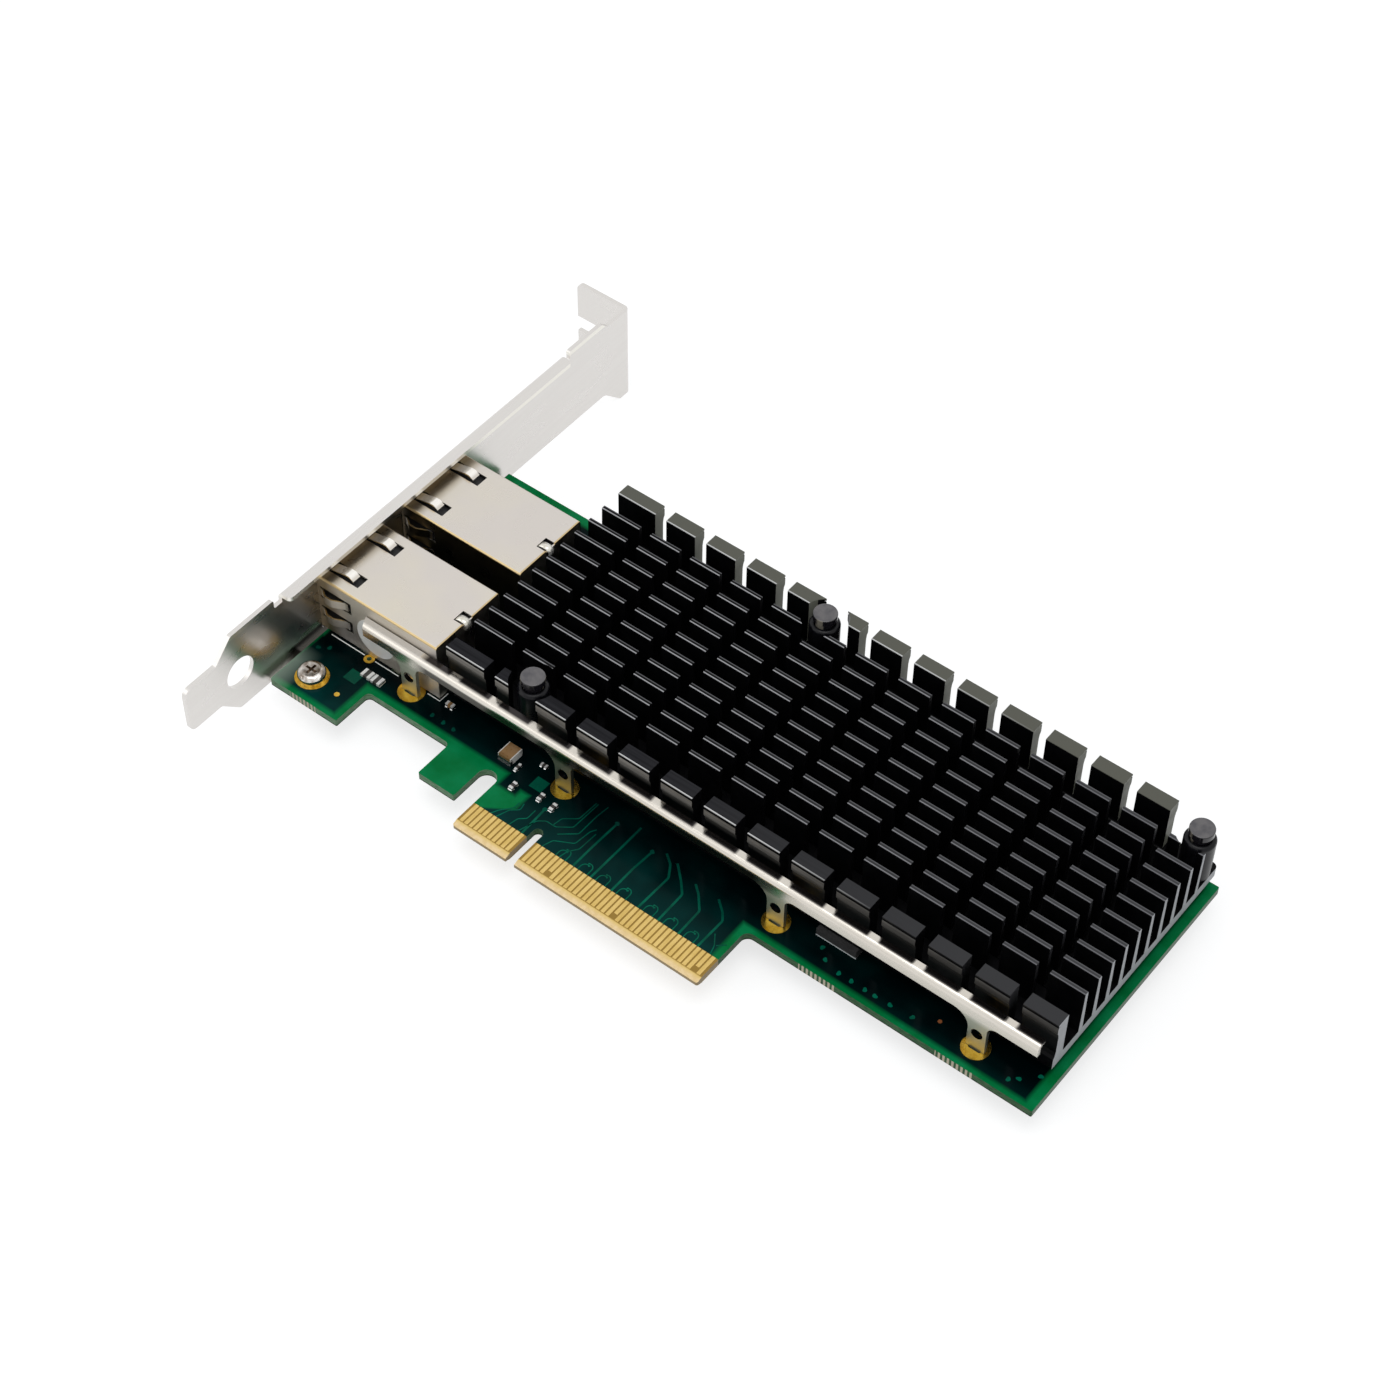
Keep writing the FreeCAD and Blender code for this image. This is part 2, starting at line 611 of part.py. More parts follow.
for name, side in jacks:
    middle = side + d.jack_width / 2
    other = side + d.jack_width
    springs = d.jack_front + 1.7
    shield = new_body(name + "_jack_shield")
    pad(shield, name + "_shell", "YZ", d.jack_front, d.jack_back, [
        (side, 0.1), (other, 0.1), (other, d.jack_high, 0.45),
        (side, d.jack_high, 0.45)])
    pocket(shield, name + "_inside", "YZ", face, d.jack_back - d.jack_sheet,
           rectangle(side + d.jack_sheet, other - d.jack_sheet,
                     -0.5, d.jack_high - d.jack_sheet))
    pocket(shield, name + "_front_opening", "YZ", d.jack_front, face, rectangle(
        side + 1.0, other - 1.0, 0.9, d.jack_high - 1.0, 0.4))
    top_inner = d.jack_high - d.jack_sheet
    windows = [springs - 0.1, springs + 7.1]
    wide = d.spring_width / 2
    gap = size(0.45)
    pocket(shield, name + "_top_windows", "XY", top_inner, d.jack_high, *[
        rectangle(windows[0], windows[1], middle + offset - wide - gap,
                  middle + offset + wide + gap) for offset in (-4.8, 4.8)])
    for edge, tag in ((side, "near"), (other - d.jack_sheet, "far")):
        pocket(shield, "%s_%s_windows" % (name, tag), "XZ", edge, edge + d.jack_sheet,
               *[rectangle(windows[0], windows[1], level - wide - gap,
                           level + wide + gap) for level in (4.45, 9.3)])
    pocket(shield, name + "_rear_notch", "XY", top_inner, d.jack_high, rectangle(
        d.jack_back - 2.1, d.jack_back + 0.1, middle - 1.3, middle + 1.3))
    pad(shield, name + "_rear_tab", "XZ", middle - 0.95, middle - 0.15, [
        (d.jack_back - 1.9, d.jack_high - 0.1), (d.jack_back + 0.3, d.jack_high, 0.3),
        (d.jack_back + 0.3, d.jack_high - 1.5), (d.jack_back, d.jack_high - 1.5),
        (d.jack_back, d.jack_high - 0.3), (d.jack_back - 1.9, d.jack_high - 0.4)])
    crest = d.jack_high + d.spring_lift
    spring_profile = strip([
        (springs - 0.3, d.jack_high), (springs + 0.6, d.jack_high, 0.8),
        (springs + 4.0, crest, 0.7), (springs + 4.8, crest, 0.5),
        (springs + 5.7, d.jack_high + 0.2)], d.jack_sheet)
    for offset, tag in ((-4.8, "a"), (4.8, "b")):
        pad(shield, "%s_top_spring_%s" % (name, tag), "XZ", middle + offset - wide,
            middle + offset + wide, spring_profile)
    near_profile, far_profile = [strip([
        (springs - 0.3, edge), (springs + 0.4, edge, 0.8),
        (springs + 1.9, edge + bow, 1.2), (springs + 3.4, edge + bow, 1.4),
        (springs + 5.8, edge, 0.5), (springs + 6.5, edge + bow / 12)], sheet_way)
        for edge, bow, sheet_way in (
            (side, d.spring_lift * -1.25, -d.jack_sheet),
            (other, d.spring_lift * 1.25, d.jack_sheet))]
    for level, tag in ((4.45, "low"), (9.3, "high")):
        pad(shield, "%s_side_springs_%s" % (name, tag), "XY", level - wide,
            level + wide, near_profile, far_profile)
    for number, leg in enumerate(leg_places):
        pad(shield, "%s_legs_%d" % (name, number), "XZ", side, side + d.jack_sheet,
            [(leg, 0.4), (leg, -2.3), (leg + 0.4, -2.7), (leg + leg_width - 0.4, -2.7),
             (leg + leg_width, -2.3), (leg + leg_width, 0.4)])
        pad(shield, "%s_far_legs_%d" % (name, number), "XZ", other - d.jack_sheet,
            other, [(leg, 0.4), (leg, -2.3), (leg + 0.4, -2.7),
                    (leg + leg_width - 0.4, -2.7), (leg + leg_width, -2.3),
                    (leg + leg_width, 0.4)])

    housing = new_body(name + "_jack_housing")
    inset = d.jack_sheet + 0.15
    pad(housing, name + "_insulator", "YZ", face, housing_back, rectangle(
        side + inset, other - inset, housing_low, housing_top))
    cavity_back = face + d.port_deep
    half_port = d.port_width / 2
    pocket(housing, name + "_plug_cavity", "YZ", face, cavity_back, rectangle(
        middle - half_port, middle + half_port, d.port_floor,
        d.port_floor + d.port_high))
    pocket(housing, name + "_latch_slot", "YZ", face, cavity_back, rectangle(
        middle - 3.1, middle + 3.1, d.port_floor + d.port_high - 0.5,
        d.port_floor + d.port_high + 1.5))
    groove_floor = d.port_floor - 0.6
    first_wire = middle - d.wire_pitch * 3.5
    groove = pocket(housing, name + "_contact_groove", "XZ",
                    first_wire - d.wire_width / 2 - 0.07,
                    first_wire + d.wire_width / 2 + 0.07,
                    rectangle(face + 1.2, cavity_back, groove_floor, d.port_floor + 0.1))
    row_of(housing, name + "_contact_grooves", [groove], "Y", d.wire_pitch, 8)
    lamp_low = housing_top - 2.1
    lamps = [(middle - 6.9, middle - 4.3), (middle + 4.3, middle + 6.9)]
    pocket(housing, name + "_light_seats", "YZ", face, face + 3.0, *[
        rectangle(low, high, lamp_low, lamp_low + 1.7) for low, high in lamps])

    wires = new_body(name + "_jack_contacts")
    wire_top = groove_floor + 0.3
    wire = pad(wires, name + "_contact", "XZ", first_wire - d.wire_width / 2,
               first_wire + d.wire_width / 2, [
                   (face + 1.4, groove_floor), (face + 3.4, groove_floor, 0.5),
                   (face + 9.6, groove_floor + 3.1, 0.5),
                   (face + 10.6, groove_floor + 3.0), (face + 10.6, wire_top + 3.0),
                   (face + 9.5, wire_top + 3.1, 0.5), (face + 3.2, wire_top, 0.5),
                   (face + 1.4, wire_top)])
    row_of(wires, name + "_contact_row", [wire], "Y", d.wire_pitch, 8)

    tails = new_body(name + "_jack_pins")
    tail_pads = []
    for number, (x, start) in enumerate(pin_rows):
        y = middle + start
        tail_pads.append(pad(tails, "%s_pin_%d" % (name, number), "XY", -2.9,
                             housing_low, rectangle(
                                 x - jack_pin_half, x + jack_pin_half,
                                 y - jack_pin_half, y + jack_pin_half)))
    row_of(tails, name + "_pin_rows", tail_pads, "Y", jack_pin_pitch, 6)

    pipes = new_body(name + "_jack_lights")
    pad(pipes, name + "_lights", "YZ", face - 0.15, face + 3.0, *[
        rectangle(low + 0.05, high - 0.05, lamp_low + 0.05, lamp_low + 1.65, 0.25)
        for low, high in lamps])

# Bare round sticker on the near jack's side.
label = doc.addObject("Part::Cylinder", "port_label")
drive(label, "Radius", 4.22)
drive(label, "Height", 0.08)
label.Placement = FreeCAD.Placement(vector(-46.8, d.jack_side, 5.36),
                                    FreeCAD.Rotation(FreeCAD.Vector(1, 0, 0), 90))
drive(label, ".Placement.Base.y", d.jack_side)
node(label, "port_label")

# ------------------------------------------------------------ stiffener rail
# Bent strip along the lower edge, standing on four feet through the board.
rail = new_body("stiffener_rail")
rail_back = d.rail_front + d.rail_gauge
wall_low = d.rail_high - d.rail_wall
pad(rail, "rail_angle", "YZ", d.rail_left, d.rail_right, [
    (d.rail_front, wall_low), (d.rail_front, d.rail_high, 0.95),
    (d.rail_front + d.rail_deep, d.rail_high),
    (d.rail_front + d.rail_deep, d.rail_high - d.rail_gauge),
    (rail_back, d.rail_high - d.rail_gauge, 0.15), (rail_back, wall_low)])
pocket(rail, "slanted_end", "XY", wall_low - 0.1, d.rail_high + 0.1, [
    (d.rail_left - 0.5, d.rail_front - 0.5), (d.rail_left + 1.1, d.rail_front - 0.5),
    (d.rail_left, d.rail_front + d.rail_deep), (d.rail_left - 0.5, d.rail_front + 2.2)])
foot_half = d.rail_foot / 2
pad(rail, "rail_feet", "XZ", d.rail_front, rail_back, *[
    [(foot - foot_half - 4.2, wall_low + 0.3), (foot - foot_half - 4.2, wall_low),
     (foot - foot_half, wall_low, 3.1), (foot - foot_half, -d.rail_tail, 0.3),
     (foot + foot_half, -d.rail_tail, 0.3), (foot + foot_half, wall_low, 1.8),
     (foot + foot_half + 2.6, wall_low), (foot + foot_half + 2.6, wall_low + 0.3)]
    for foot in feet])
pocket(rail, "foot_holes", "XZ", d.rail_front, rail_back, *[
    (foot, 4.1, 1.1) for foot in feet])

# ------------------------------------------------------------------ heat sink
# Extruded fins with two heavy outer fins, cross cut into rows of blades.
sink = new_body("heatsink")
near_in = d.sink_near + d.edge_fin
far_in = d.sink_far - d.edge_fin


def outer_fin(face_line, way):
    """Hollow outer face with a groove under its top lip, from the top down."""
    return [(face_line, d.sink_high), (face_line, d.sink_high - 0.4),
            (face_line + 0.35 * way, d.sink_high - 0.45),
            (face_line + 0.35 * way, d.sink_high - 0.65),
            (face_line, d.sink_high - 0.75), (face_line, d.sink_high - 2.3),
            (face_line + 0.3 * way, d.sink_high - 2.9),
            (face_line + 0.45 * way, d.sink_high - 3.9),
            (face_line + 0.45 * way, sink_floor + 2.0),
            (face_line + 0.3 * way, sink_floor + 1.1),
            (face_line, sink_floor + 0.5), (face_line, d.sink_low)]


pad(sink, "trough", "YZ", d.sink_left, d.sink_right,
    outer_fin(d.sink_near, 1) + outer_fin(d.sink_far, -1)[::-1] + [
        (far_in, d.sink_high), (far_in, sink_floor, 0.6),
        (near_in, sink_floor, 0.6), (near_in, d.sink_high)])
foot_half_fin = d.fin_foot / 2
tip_half_fin = d.fin_tip / 2
thin_fin = pad(sink, "thin_fin", "YZ", d.sink_left, d.sink_right, [
    (d.fin_first - foot_half_fin, sink_floor - 0.2),
    (d.fin_first + foot_half_fin, sink_floor - 0.2),
    (d.fin_first + tip_half_fin, d.sink_high),
    (d.fin_first - tip_half_fin, d.sink_high)])
row_of(sink, "thin_fins", [thin_fin], "Y", d.fin_pitch, d.fin_count)
cross = pocket(sink, "cross_cut", "XY", sink_floor + 0.2, d.sink_high + 1, rectangle(
    d.cross_first, d.cross_first + d.cross_width, d.sink_near - 1, d.sink_far + 1))
row_of(sink, "cross_cuts", [cross], "X", d.cross_pitch, d.cross_count)
last_blade = d.cross_first + d.cross_pitch * (d.cross_count - 1)
pocket(sink, "pin_clearings", "XY", sink_floor, d.sink_high + 1, *[
    (x, y, d.pin_room) for x, y in pins])
pocket(sink, "corner_clearing", "XY", sink_floor, d.sink_high + 1, rectangle(
    last_blade + d.cross_width - 0.6, d.sink_right + 1, d.pin_right_y, d.sink_far + 1))
pocket(sink, "pin_holes", "XY", d.sink_low, sink_floor, *[
    (x, y, d.pin_stem + d.clearance + 0.1) for x, y in pins])
base_middle = d.sink_low + d.sink_base / 2
round_edges(sink, "rounded_ear", 1.0, [(d.sink_right, d.sink_far, base_middle)])

# ------------------------------------------------------- heat sink push pins
# Barbed pins pushed through the sink and the board, each with sleeve and spring.
sleeve_floor = sink_floor + 0.5
collar_low = d.sleeve_top - 1.0
head_under = d.pin_top - 1.2
barb = board_back - 0.05


def turned_group(label, corners_at):
    """One turned piece at each push pin place."""
    body = new_body(label)
    for number, (x, y) in enumerate(pins):
        sketch = new_sketch(body, "%s_profile_%d" % (label, number), "XZ", y,
                            [corners_at(x)])
        line = sketch.addGeometry(
            Part.LineSegment(vector(x, -4), vector(x, 16)), True)
        hold(sketch, line, 1, x, -4)
        hold(sketch, line, 2, x, 16)
        feature = body.newObject("PartDesign::Revolution", "%s_%d" % (label, number))
        feature.Profile = sketch
        feature.ReferenceAxis = (sketch, ["Axis0"])
        feature.Angle = 360
        body.Tip = feature
    return body


push_pins = turned_group("push_pins", lambda x: [
    (x, barb - 2.1), (x + 0.7, barb - 2.1), (x + d.pin_stem + 0.55, barb - 0.45),
    (x + d.pin_stem + 0.55, barb), (x + d.pin_stem, barb),
    (x + d.pin_stem, collar_low), (x + d.spring_radius - 0.05, collar_low),
    (x + d.spring_radius - 0.05, head_under), (x + d.pin_head, head_under),
    (x + d.pin_head, d.pin_top, 0.2), (x, d.pin_top)])
pocket(push_pins, "tip_slits", "XY", barb - 2.2, board_back + 3.4, *[
    rectangle(x - 0.3, x + 0.3, y - 2.2, y + 2.2) for x, y in pins])
turned_group("pin_sleeves", lambda x: [
    (x + d.pin_stem + 0.1, sink_floor), (x + d.sleeve_outer, sink_floor),
    (x + d.sleeve_outer, d.sleeve_top, 0.7), (x + d.spring_radius + 0.15, d.sleeve_top),
    (x + d.spring_radius + 0.15, d.sleeve_top - 0.5),
    (x + d.sleeve_inner, d.sleeve_top - 0.8), (x + d.sleeve_inner, sleeve_floor),
    (x + d.pin_stem + 0.1, sleeve_floor)])
coils = []
spring_span = collar_low - sleeve_floor - d.spring_wire * 2
for number, (x, y) in enumerate(pins):
    helix = doc.addObject("Part::Helix", "spring_path_%d" % number)
    drive(helix, "Pitch", spring_span / 4)
    drive(helix, "Height", spring_span)
    drive(helix, "Radius", d.spring_radius)
    wire = doc.addObject("Part::RegularPolygon", "spring_wire_%d" % number)
    wire.Polygon = 4
    drive(wire, "Circumradius", d.spring_wire)
    wire.Placement = FreeCAD.Placement(vector(d.spring_radius, 0, 0),
                                       FreeCAD.Rotation(FreeCAD.Vector(1, 0, 0), 90))
    drive(wire, ".Placement.Base.x", d.spring_radius)
    coil = doc.addObject("Part::Sweep", "pin_spring_%d" % number)
    coil.Sections = [wire]
    coil.Spine = (helix, ["Edge1"])
    coil.Solid = True
    coil.Frenet = True
    coil.Placement.Base = vector(x, y, sleeve_floor + d.spring_wire)
    drive(coil, ".Placement.Base.x", x)
    drive(coil, ".Placement.Base.y", y)
    drive(coil, ".Placement.Base.z", sleeve_floor + d.spring_wire)
    coils.append(coil)
group("pin_springs", coils)

# ------------------------------------------------- controller and its neighbours
chip = new_body("controller_chip")
chip_half = d.chip_size / 2
pad(chip, "substrate", "XY", 0, 0.6, rectangle(
    d.chip_x - chip_half, d.chip_x + chip_half, d.chip_y - chip_half,
    d.chip_y + chip_half, 0.4))
pad(chip, "mould_cap", "XY", 0.6, d.chip_high, rectangle(
    d.chip_x - chip_half + 1.2, d.chip_x + chip_half - 1.2,
    d.chip_y - chip_half + 1.2, d.chip_y + chip_half - 1.2, 0.6))
pad_half = chip_half - 2.5
node(block("thermal_pad", d.chip_x - pad_half, d.chip_x + pad_half,
           d.chip_y - pad_half, d.chip_y + pad_half, d.chip_high, d.sink_low),
     "thermal_pad")
node(block("voltage_regulator", 49.0, 57.0, 19.5, 24.6, 0, d.sink_low - 0.15),
     "voltage_regulator")
node(block("flash_memory", 56.0, 61.0, 40.0, 46.0, 0, d.sink_low - 0.35),
     "flash_memory")
node(block("clock_crystal", 4.0, 9.0, 34.0, 37.2, 0, 1.1), "clock_crystal")

# Chip capacitors and resistors with tinned ends: place, length, width, height, way.
chips = {
    "ceramic_capacitors": [
        (-14.3, 17.1, 3.1, 2.8, 1.6, 1), (-29.7, 19.2, 1.6, 0.8, 0.8, 0),
        (10.0, 55.0, 1.6, 0.8, 0.8, 0), (10.0, 40.0, 1.6, 0.8, 0.8, 0),
        (46.0, 55.0, 1.6, 0.8, 0.8, 0), (46.0, 40.0, 1.6, 0.8, 0.8, 0)],
    "chip_resistors": [
        (-45.7, 15.6, 2.0, 1.7, 0.6, 0), (-43.4, 15.6, 2.0, 1.7, 0.6, 0),
        (-9.7, 12.4, 1.6, 0.8, 0.5, 1), (-4.4, 13.4, 1.6, 0.8, 0.5, 1),
        (-1.4, 13.0, 1.6, 0.8, 0.5, 1), (-11.7, 16.0, 1.6, 0.5, 0.4, 1),
        (-8.4, 19.1, 1.3, 0.7, 0.4, 0)]}
terminals = []
for label, places in chips.items():
    bodies = []
    for number, (x, y, long, wide, high, upright) in enumerate(places):
        cap = long * (0.17 if wide > 2 else 0.3)
        spans = [(-long / 2 + cap, long / 2 - cap), (-long / 2, -long / 2 + cap),
                 (long / 2 - cap, long / 2)]
        for part, (low, top) in enumerate(spans):
            title = "%s_%d_%d" % (label, number, part)
            across = (y - wide / 2, y + wide / 2) if not upright else (y + low, y + top)
            along = (x + low, x + top) if not upright else (x - wide / 2, x + wide / 2)
            piece = block(title, along[0], along[1], across[0], across[1], 0, high)
            if part == 0:
                bodies.append(piece)
            else:
                terminals.append(piece)
    group(label, bodies)
group("chip_terminals", terminals)

# --------------------------------------------------------------------- export
doc.recompute()
for item in doc.Objects:
    if "Invalid" in item.State or "Error" in item.State:
        raise RuntimeError("%s: %s" % (item.Label, item.State))
for item in nodes:
    if item.Shape.isNull() or not item.Shape.isValid() or item.Shape.Volume <= 0:
        raise RuntimeError("%s has no valid solid" % item.Label)
os.makedirs("parts", exist_ok=True)
for item in nodes:
    item.Shape.exportStep(os.path.join("parts", item.Label + ".step"))
    print(item.Label, len(item.Shape.Solids), round(item.Shape.Volume, 2),
          [round(value, 2) for value in (
              item.Shape.BoundBox.XMin, item.Shape.BoundBox.XMax,
              item.Shape.BoundBox.YMin, item.Shape.BoundBox.YMax,
              item.Shape.BoundBox.ZMin, item.Shape.BoundBox.ZMax)])
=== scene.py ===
import math

import bpy
import numpy as np
from mathutils import Matrix, Vector


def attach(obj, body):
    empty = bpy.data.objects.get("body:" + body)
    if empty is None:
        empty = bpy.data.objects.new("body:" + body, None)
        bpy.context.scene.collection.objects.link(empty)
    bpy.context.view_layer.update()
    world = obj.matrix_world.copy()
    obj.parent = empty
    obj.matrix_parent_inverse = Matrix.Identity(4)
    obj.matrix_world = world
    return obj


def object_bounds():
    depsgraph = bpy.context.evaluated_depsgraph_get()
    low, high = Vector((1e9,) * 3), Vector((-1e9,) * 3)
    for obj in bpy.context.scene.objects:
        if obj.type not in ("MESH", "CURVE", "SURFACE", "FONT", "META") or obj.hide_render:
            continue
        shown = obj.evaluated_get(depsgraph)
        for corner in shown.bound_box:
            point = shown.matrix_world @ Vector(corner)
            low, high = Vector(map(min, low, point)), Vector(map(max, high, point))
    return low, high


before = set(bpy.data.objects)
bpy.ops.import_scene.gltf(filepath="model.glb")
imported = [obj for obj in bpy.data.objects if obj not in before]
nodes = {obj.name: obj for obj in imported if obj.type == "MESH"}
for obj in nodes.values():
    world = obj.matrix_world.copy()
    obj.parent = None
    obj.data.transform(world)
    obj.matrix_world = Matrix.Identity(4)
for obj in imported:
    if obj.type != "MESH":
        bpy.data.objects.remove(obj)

scene = bpy.context.scene
cad_box = [list(map(float, corner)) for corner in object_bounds()]
mm = 0.001

# Camera: above the connector side, looking along the card towards the bracket's far
# end, with a long lens and a slight roll.
aim = Vector((0.00324, 0.0474, 0.0))
viewpoint = Vector((0.2066, -0.2210, 0.3950))
roll = Matrix.Rotation(math.radians(1.06), 4, "Z")


def looking_from(spot):
    """The placing of something that stands at a spot and faces the aim."""
    turn = (aim - spot).to_track_quat("-Z", "Y").to_matrix().to_4x4()
    return Matrix.Translation(spot) @ turn


camera = bpy.data.objects.new("camera", bpy.data.cameras.new("camera"))
scene.collection.objects.link(camera)
camera.matrix_world = looking_from(viewpoint) @ roll
camera.data.lens = 76.63
camera.data.sensor_width = 36.0
camera.data.clip_start = 0.01
scene.camera = camera
scene.view_settings.view_transform = "Standard"


# Light: a pale room that metal and the camera see as a white backdrop, one broad key
# overhead and a weak fill from the front left.
def seen_by(tree, *rays):
    """One where any of the named kinds of ray looks, otherwise nought."""
    path = tree.nodes.new("ShaderNodeLightPath")
    seen = path.outputs[rays[0]]
    for ray in rays[1:]:
        either = tree.nodes.new("ShaderNodeMath")
        either.operation = "MAXIMUM"
        tree.links.new(seen, either.inputs[0])
        tree.links.new(path.outputs[ray], either.inputs[1])
        seen = either.outputs[0]
    return seen


world = bpy.data.worlds.new("studio")
world.use_nodes = True
scene.world = world
tree = world.node_tree
tree.nodes.clear()
room_or_backdrop = tree.nodes.new("ShaderNodeMixShader")
for side, colour, strength in ((1, (0.95, 0.97, 1.0, 1), 0.62), (2, (1, 1, 1, 1), 1.0)):
    glow = tree.nodes.new("ShaderNodeBackground")
    glow.inputs["Color"].default_value = colour
    glow.inputs["Strength"].default_value = strength
    tree.links.new(glow.outputs[0], room_or_backdrop.inputs[side])
tree.links.new(seen_by(tree, "Is Camera Ray", "Is Glossy Ray", "Is Transmission Ray"),
               room_or_backdrop.inputs[0])
world_output = tree.nodes.new("ShaderNodeOutputWorld")
tree.links.new(room_or_backdrop.outputs[0], world_output.inputs["Surface"])
for name, where, width, power in (
        ("key", (0.05, -0.10, 0.95), 0.60, 2.6),
        ("fill", (-0.70, -0.45, 0.45), 0.80, 1.4)):
    lamp = bpy.data.lights.new(name, "AREA")
    lamp.shape = "SQUARE"
    lamp.size = width
    lamp.energy = power
    item = bpy.data.objects.new(name, lamp)
    scene.collection.objects.link(item)
    item.matrix_world = looking_from(Vector(where))

# Floor: a wide white sheet just under the lowest corner of the bracket, glowing a
# little so that the object's shadow on it stays faint.
floor_level = cad_box[0][2]
floor_half = 4
floor_tone = 0.40
floor_glow = 0.72
sheet = bpy.data.meshes.new("floor")
sheet.from_pydata([(x * floor_half, y * floor_half, floor_level)
                   for x, y in ((-1, -1), (1, -1), (1, 1), (-1, 1))], [], [(0, 1, 2, 3)])
floor = bpy.data.objects.new("floor", sheet)
scene.collection.objects.link(floor)
floor_paint = bpy.data.materials.new("floor_paint")
floor_paint.use_nodes = True
tree = floor_paint.node_tree
base = tree.nodes["Principled BSDF"]
base.inputs["Base Color"].default_value = (floor_tone, floor_tone, floor_tone, 1)
base.inputs["Roughness"].default_value = 0.9
base.inputs["Specular IOR Level"].default_value = 0.0
base.inputs["Emission Color"].default_value = (1, 1, 1, 1)
glow = tree.nodes.new("ShaderNodeMath")
glow.operation = "MULTIPLY"
glow.inputs[1].default_value = floor_glow
tree.links.new(seen_by(tree, "Is Camera Ray", "Is Glossy Ray"), glow.inputs[0])
tree.links.new(glow.outputs[0], base.inputs["Emission Strength"])
sheet.materials.append(floor_paint)


# Circuit board: a laminate sheet under solder mask, green where only laminate lies
# below and dark teal over the copper planes, the teal darkened towards the rail by a
# painted shade and lightened beside the bracket by a painted reflection. The mask stops
# short of the edge contacts; the cut edges and the bevel show bare laminate, the bevel
# painted paler as a painted highlight and the cut edges painted lighter towards the
# bracket end as painted light.
class Paint:
    """A surface whose colour, roughness and relief follow the object's own coordinates:
    noise varies them, and masks worked out from places on the card set what is local."""

    def __init__(self, name, rough, metal=0.0, gloss=0.5):
        self.material = bpy.data.materials.new(name)
        self.material.use_nodes = True
        self.tree = self.material.node_tree
        self.base = self.tree.nodes["Principled BSDF"]
        self.base.inputs["Roughness"].default_value = rough
        self.base.inputs["Metallic"].default_value = metal
        self.base.inputs["Specular IOR Level"].default_value = gloss
        self.coords = self.tree.nodes.new("ShaderNodeTexCoord")
        split = self.tree.nodes.new("ShaderNodeSeparateXYZ")
        self.tree.links.new(self.coords.outputs["Object"], split.inputs[0])
        self.x, self.y, self.z = split.outputs
        facing = self.tree.nodes.new("ShaderNodeSeparateXYZ")
        self.tree.links.new(self.coords.outputs["Normal"], facing.inputs[0])
        self.nx, self.ny, self.nz = facing.outputs

    def feed(self, socket, value):
        if isinstance(value, bpy.types.NodeSocket):
            self.tree.links.new(value, socket)
        elif isinstance(value, tuple):
            socket.default_value = (*value, 1)
        else:
            socket.default_value = value

    def calc(self, operation, first, second=0.0):
        node = self.tree.nodes.new("ShaderNodeMath")
        node.operation = operation
        self.feed(node.inputs[0], first)
        self.feed(node.inputs[1], second)
        return node.outputs[0]

    def over(self, value, level):
        return self.calc("GREATER_THAN", value, level)

    def under(self, value, level):
        return self.calc("LESS_THAN", value, level)

    def both(self, first, *others):
        """Where every one of the masks holds: their product."""
        for other in others:
            first = self.calc("MULTIPLY", first, other)
        return first

    def either(self, first, *others):
        """Where any of the masks holds: the greatest of them."""
        for other in others:
            first = self.calc("MAXIMUM", first, other)
        return first

    def outside(self, mask):
        return self.calc("SUBTRACT", 1.0, mask)

    def off(self, value, middle):
        """How far a value lies from a middle, either way."""
        return self.calc("ABSOLUTE", self.calc("SUBTRACT", value, middle))

    def from_row(self, value, first, pitch):
        """Signed distance from the nearest of a row of lines: the value is wrapped into
        one pitch that has its line in the middle."""
        wrapped = self.calc("WRAP", self.calc("SUBTRACT", value, first - pitch / 2), pitch)
        wrapped.node.inputs[2].default_value = 0.0
        return self.calc("SUBTRACT", wrapped, pitch / 2)

    def depth(self, x_low, x_high, y_low, y_high):
        """How far inside an upright rectangle a point lies."""
        along = self.calc("MINIMUM", self.calc("SUBTRACT", self.x, x_low),
                          self.calc("SUBTRACT", x_high, self.x))
        across = self.calc("MINIMUM", self.calc("SUBTRACT", self.y, y_low),
                           self.calc("SUBTRACT", y_high, self.y))
        return self.calc("MINIMUM", along, across)

    def ramp(self, value, start, end, low=0.0, high=1.0):
        node = self.tree.nodes.new("ShaderNodeMapRange")
        self.feed(node.inputs["Value"], value)
        for socket, number in zip(node.inputs[1:5], (start, end, low, high)):
            socket.default_value = number
        return node.outputs["Result"]

    def blend(self, share, low, high):
        node = self.tree.nodes.new("ShaderNodeMix")
        node.data_type = "RGBA"
        self.feed(node.inputs[0], share)
        self.feed(node.inputs[6], low)
        self.feed(node.inputs[7], high)
        return node.outputs[2]

    def noise(self, scale, detail=3.0, stretch=(1, 1, 1)):
        turn = self.tree.nodes.new("ShaderNodeMapping")
        turn.inputs["Scale"].default_value = stretch
        self.tree.links.new(self.coords.outputs["Object"], turn.inputs["Vector"])
        node = self.tree.nodes.new("ShaderNodeTexNoise")
        node.inputs["Scale"].default_value = scale
        node.inputs["Detail"].default_value = detail
        self.tree.links.new(turn.outputs[0], node.inputs["Vector"])
        return node.outputs["Fac"]

    def mottle(self, low, high, scale, detail=3.0, stretch=(1, 1, 1), span=(0.3, 0.7)):
        """Two tones that drift into each other with noise."""
        return self.blend(self.ramp(self.noise(scale, detail, stretch), *span), low, high)

    def colour(self, value):
        self.feed(self.base.inputs["Base Color"], value)

    def vary_rough(self, noise, low, high):
        self.feed(self.base.inputs["Roughness"], self.ramp(noise, 0.3, 0.7, low, high))

    def relief(self, height, depth):
        node = self.tree.nodes.new("ShaderNodeBump")
        node.inputs["Strength"].default_value = 0.6
        node.inputs["Distance"].default_value = depth
        self.tree.links.new(height, node.inputs["Height"])
        self.tree.links.new(node.outputs[0], self.base.inputs["Normal"])

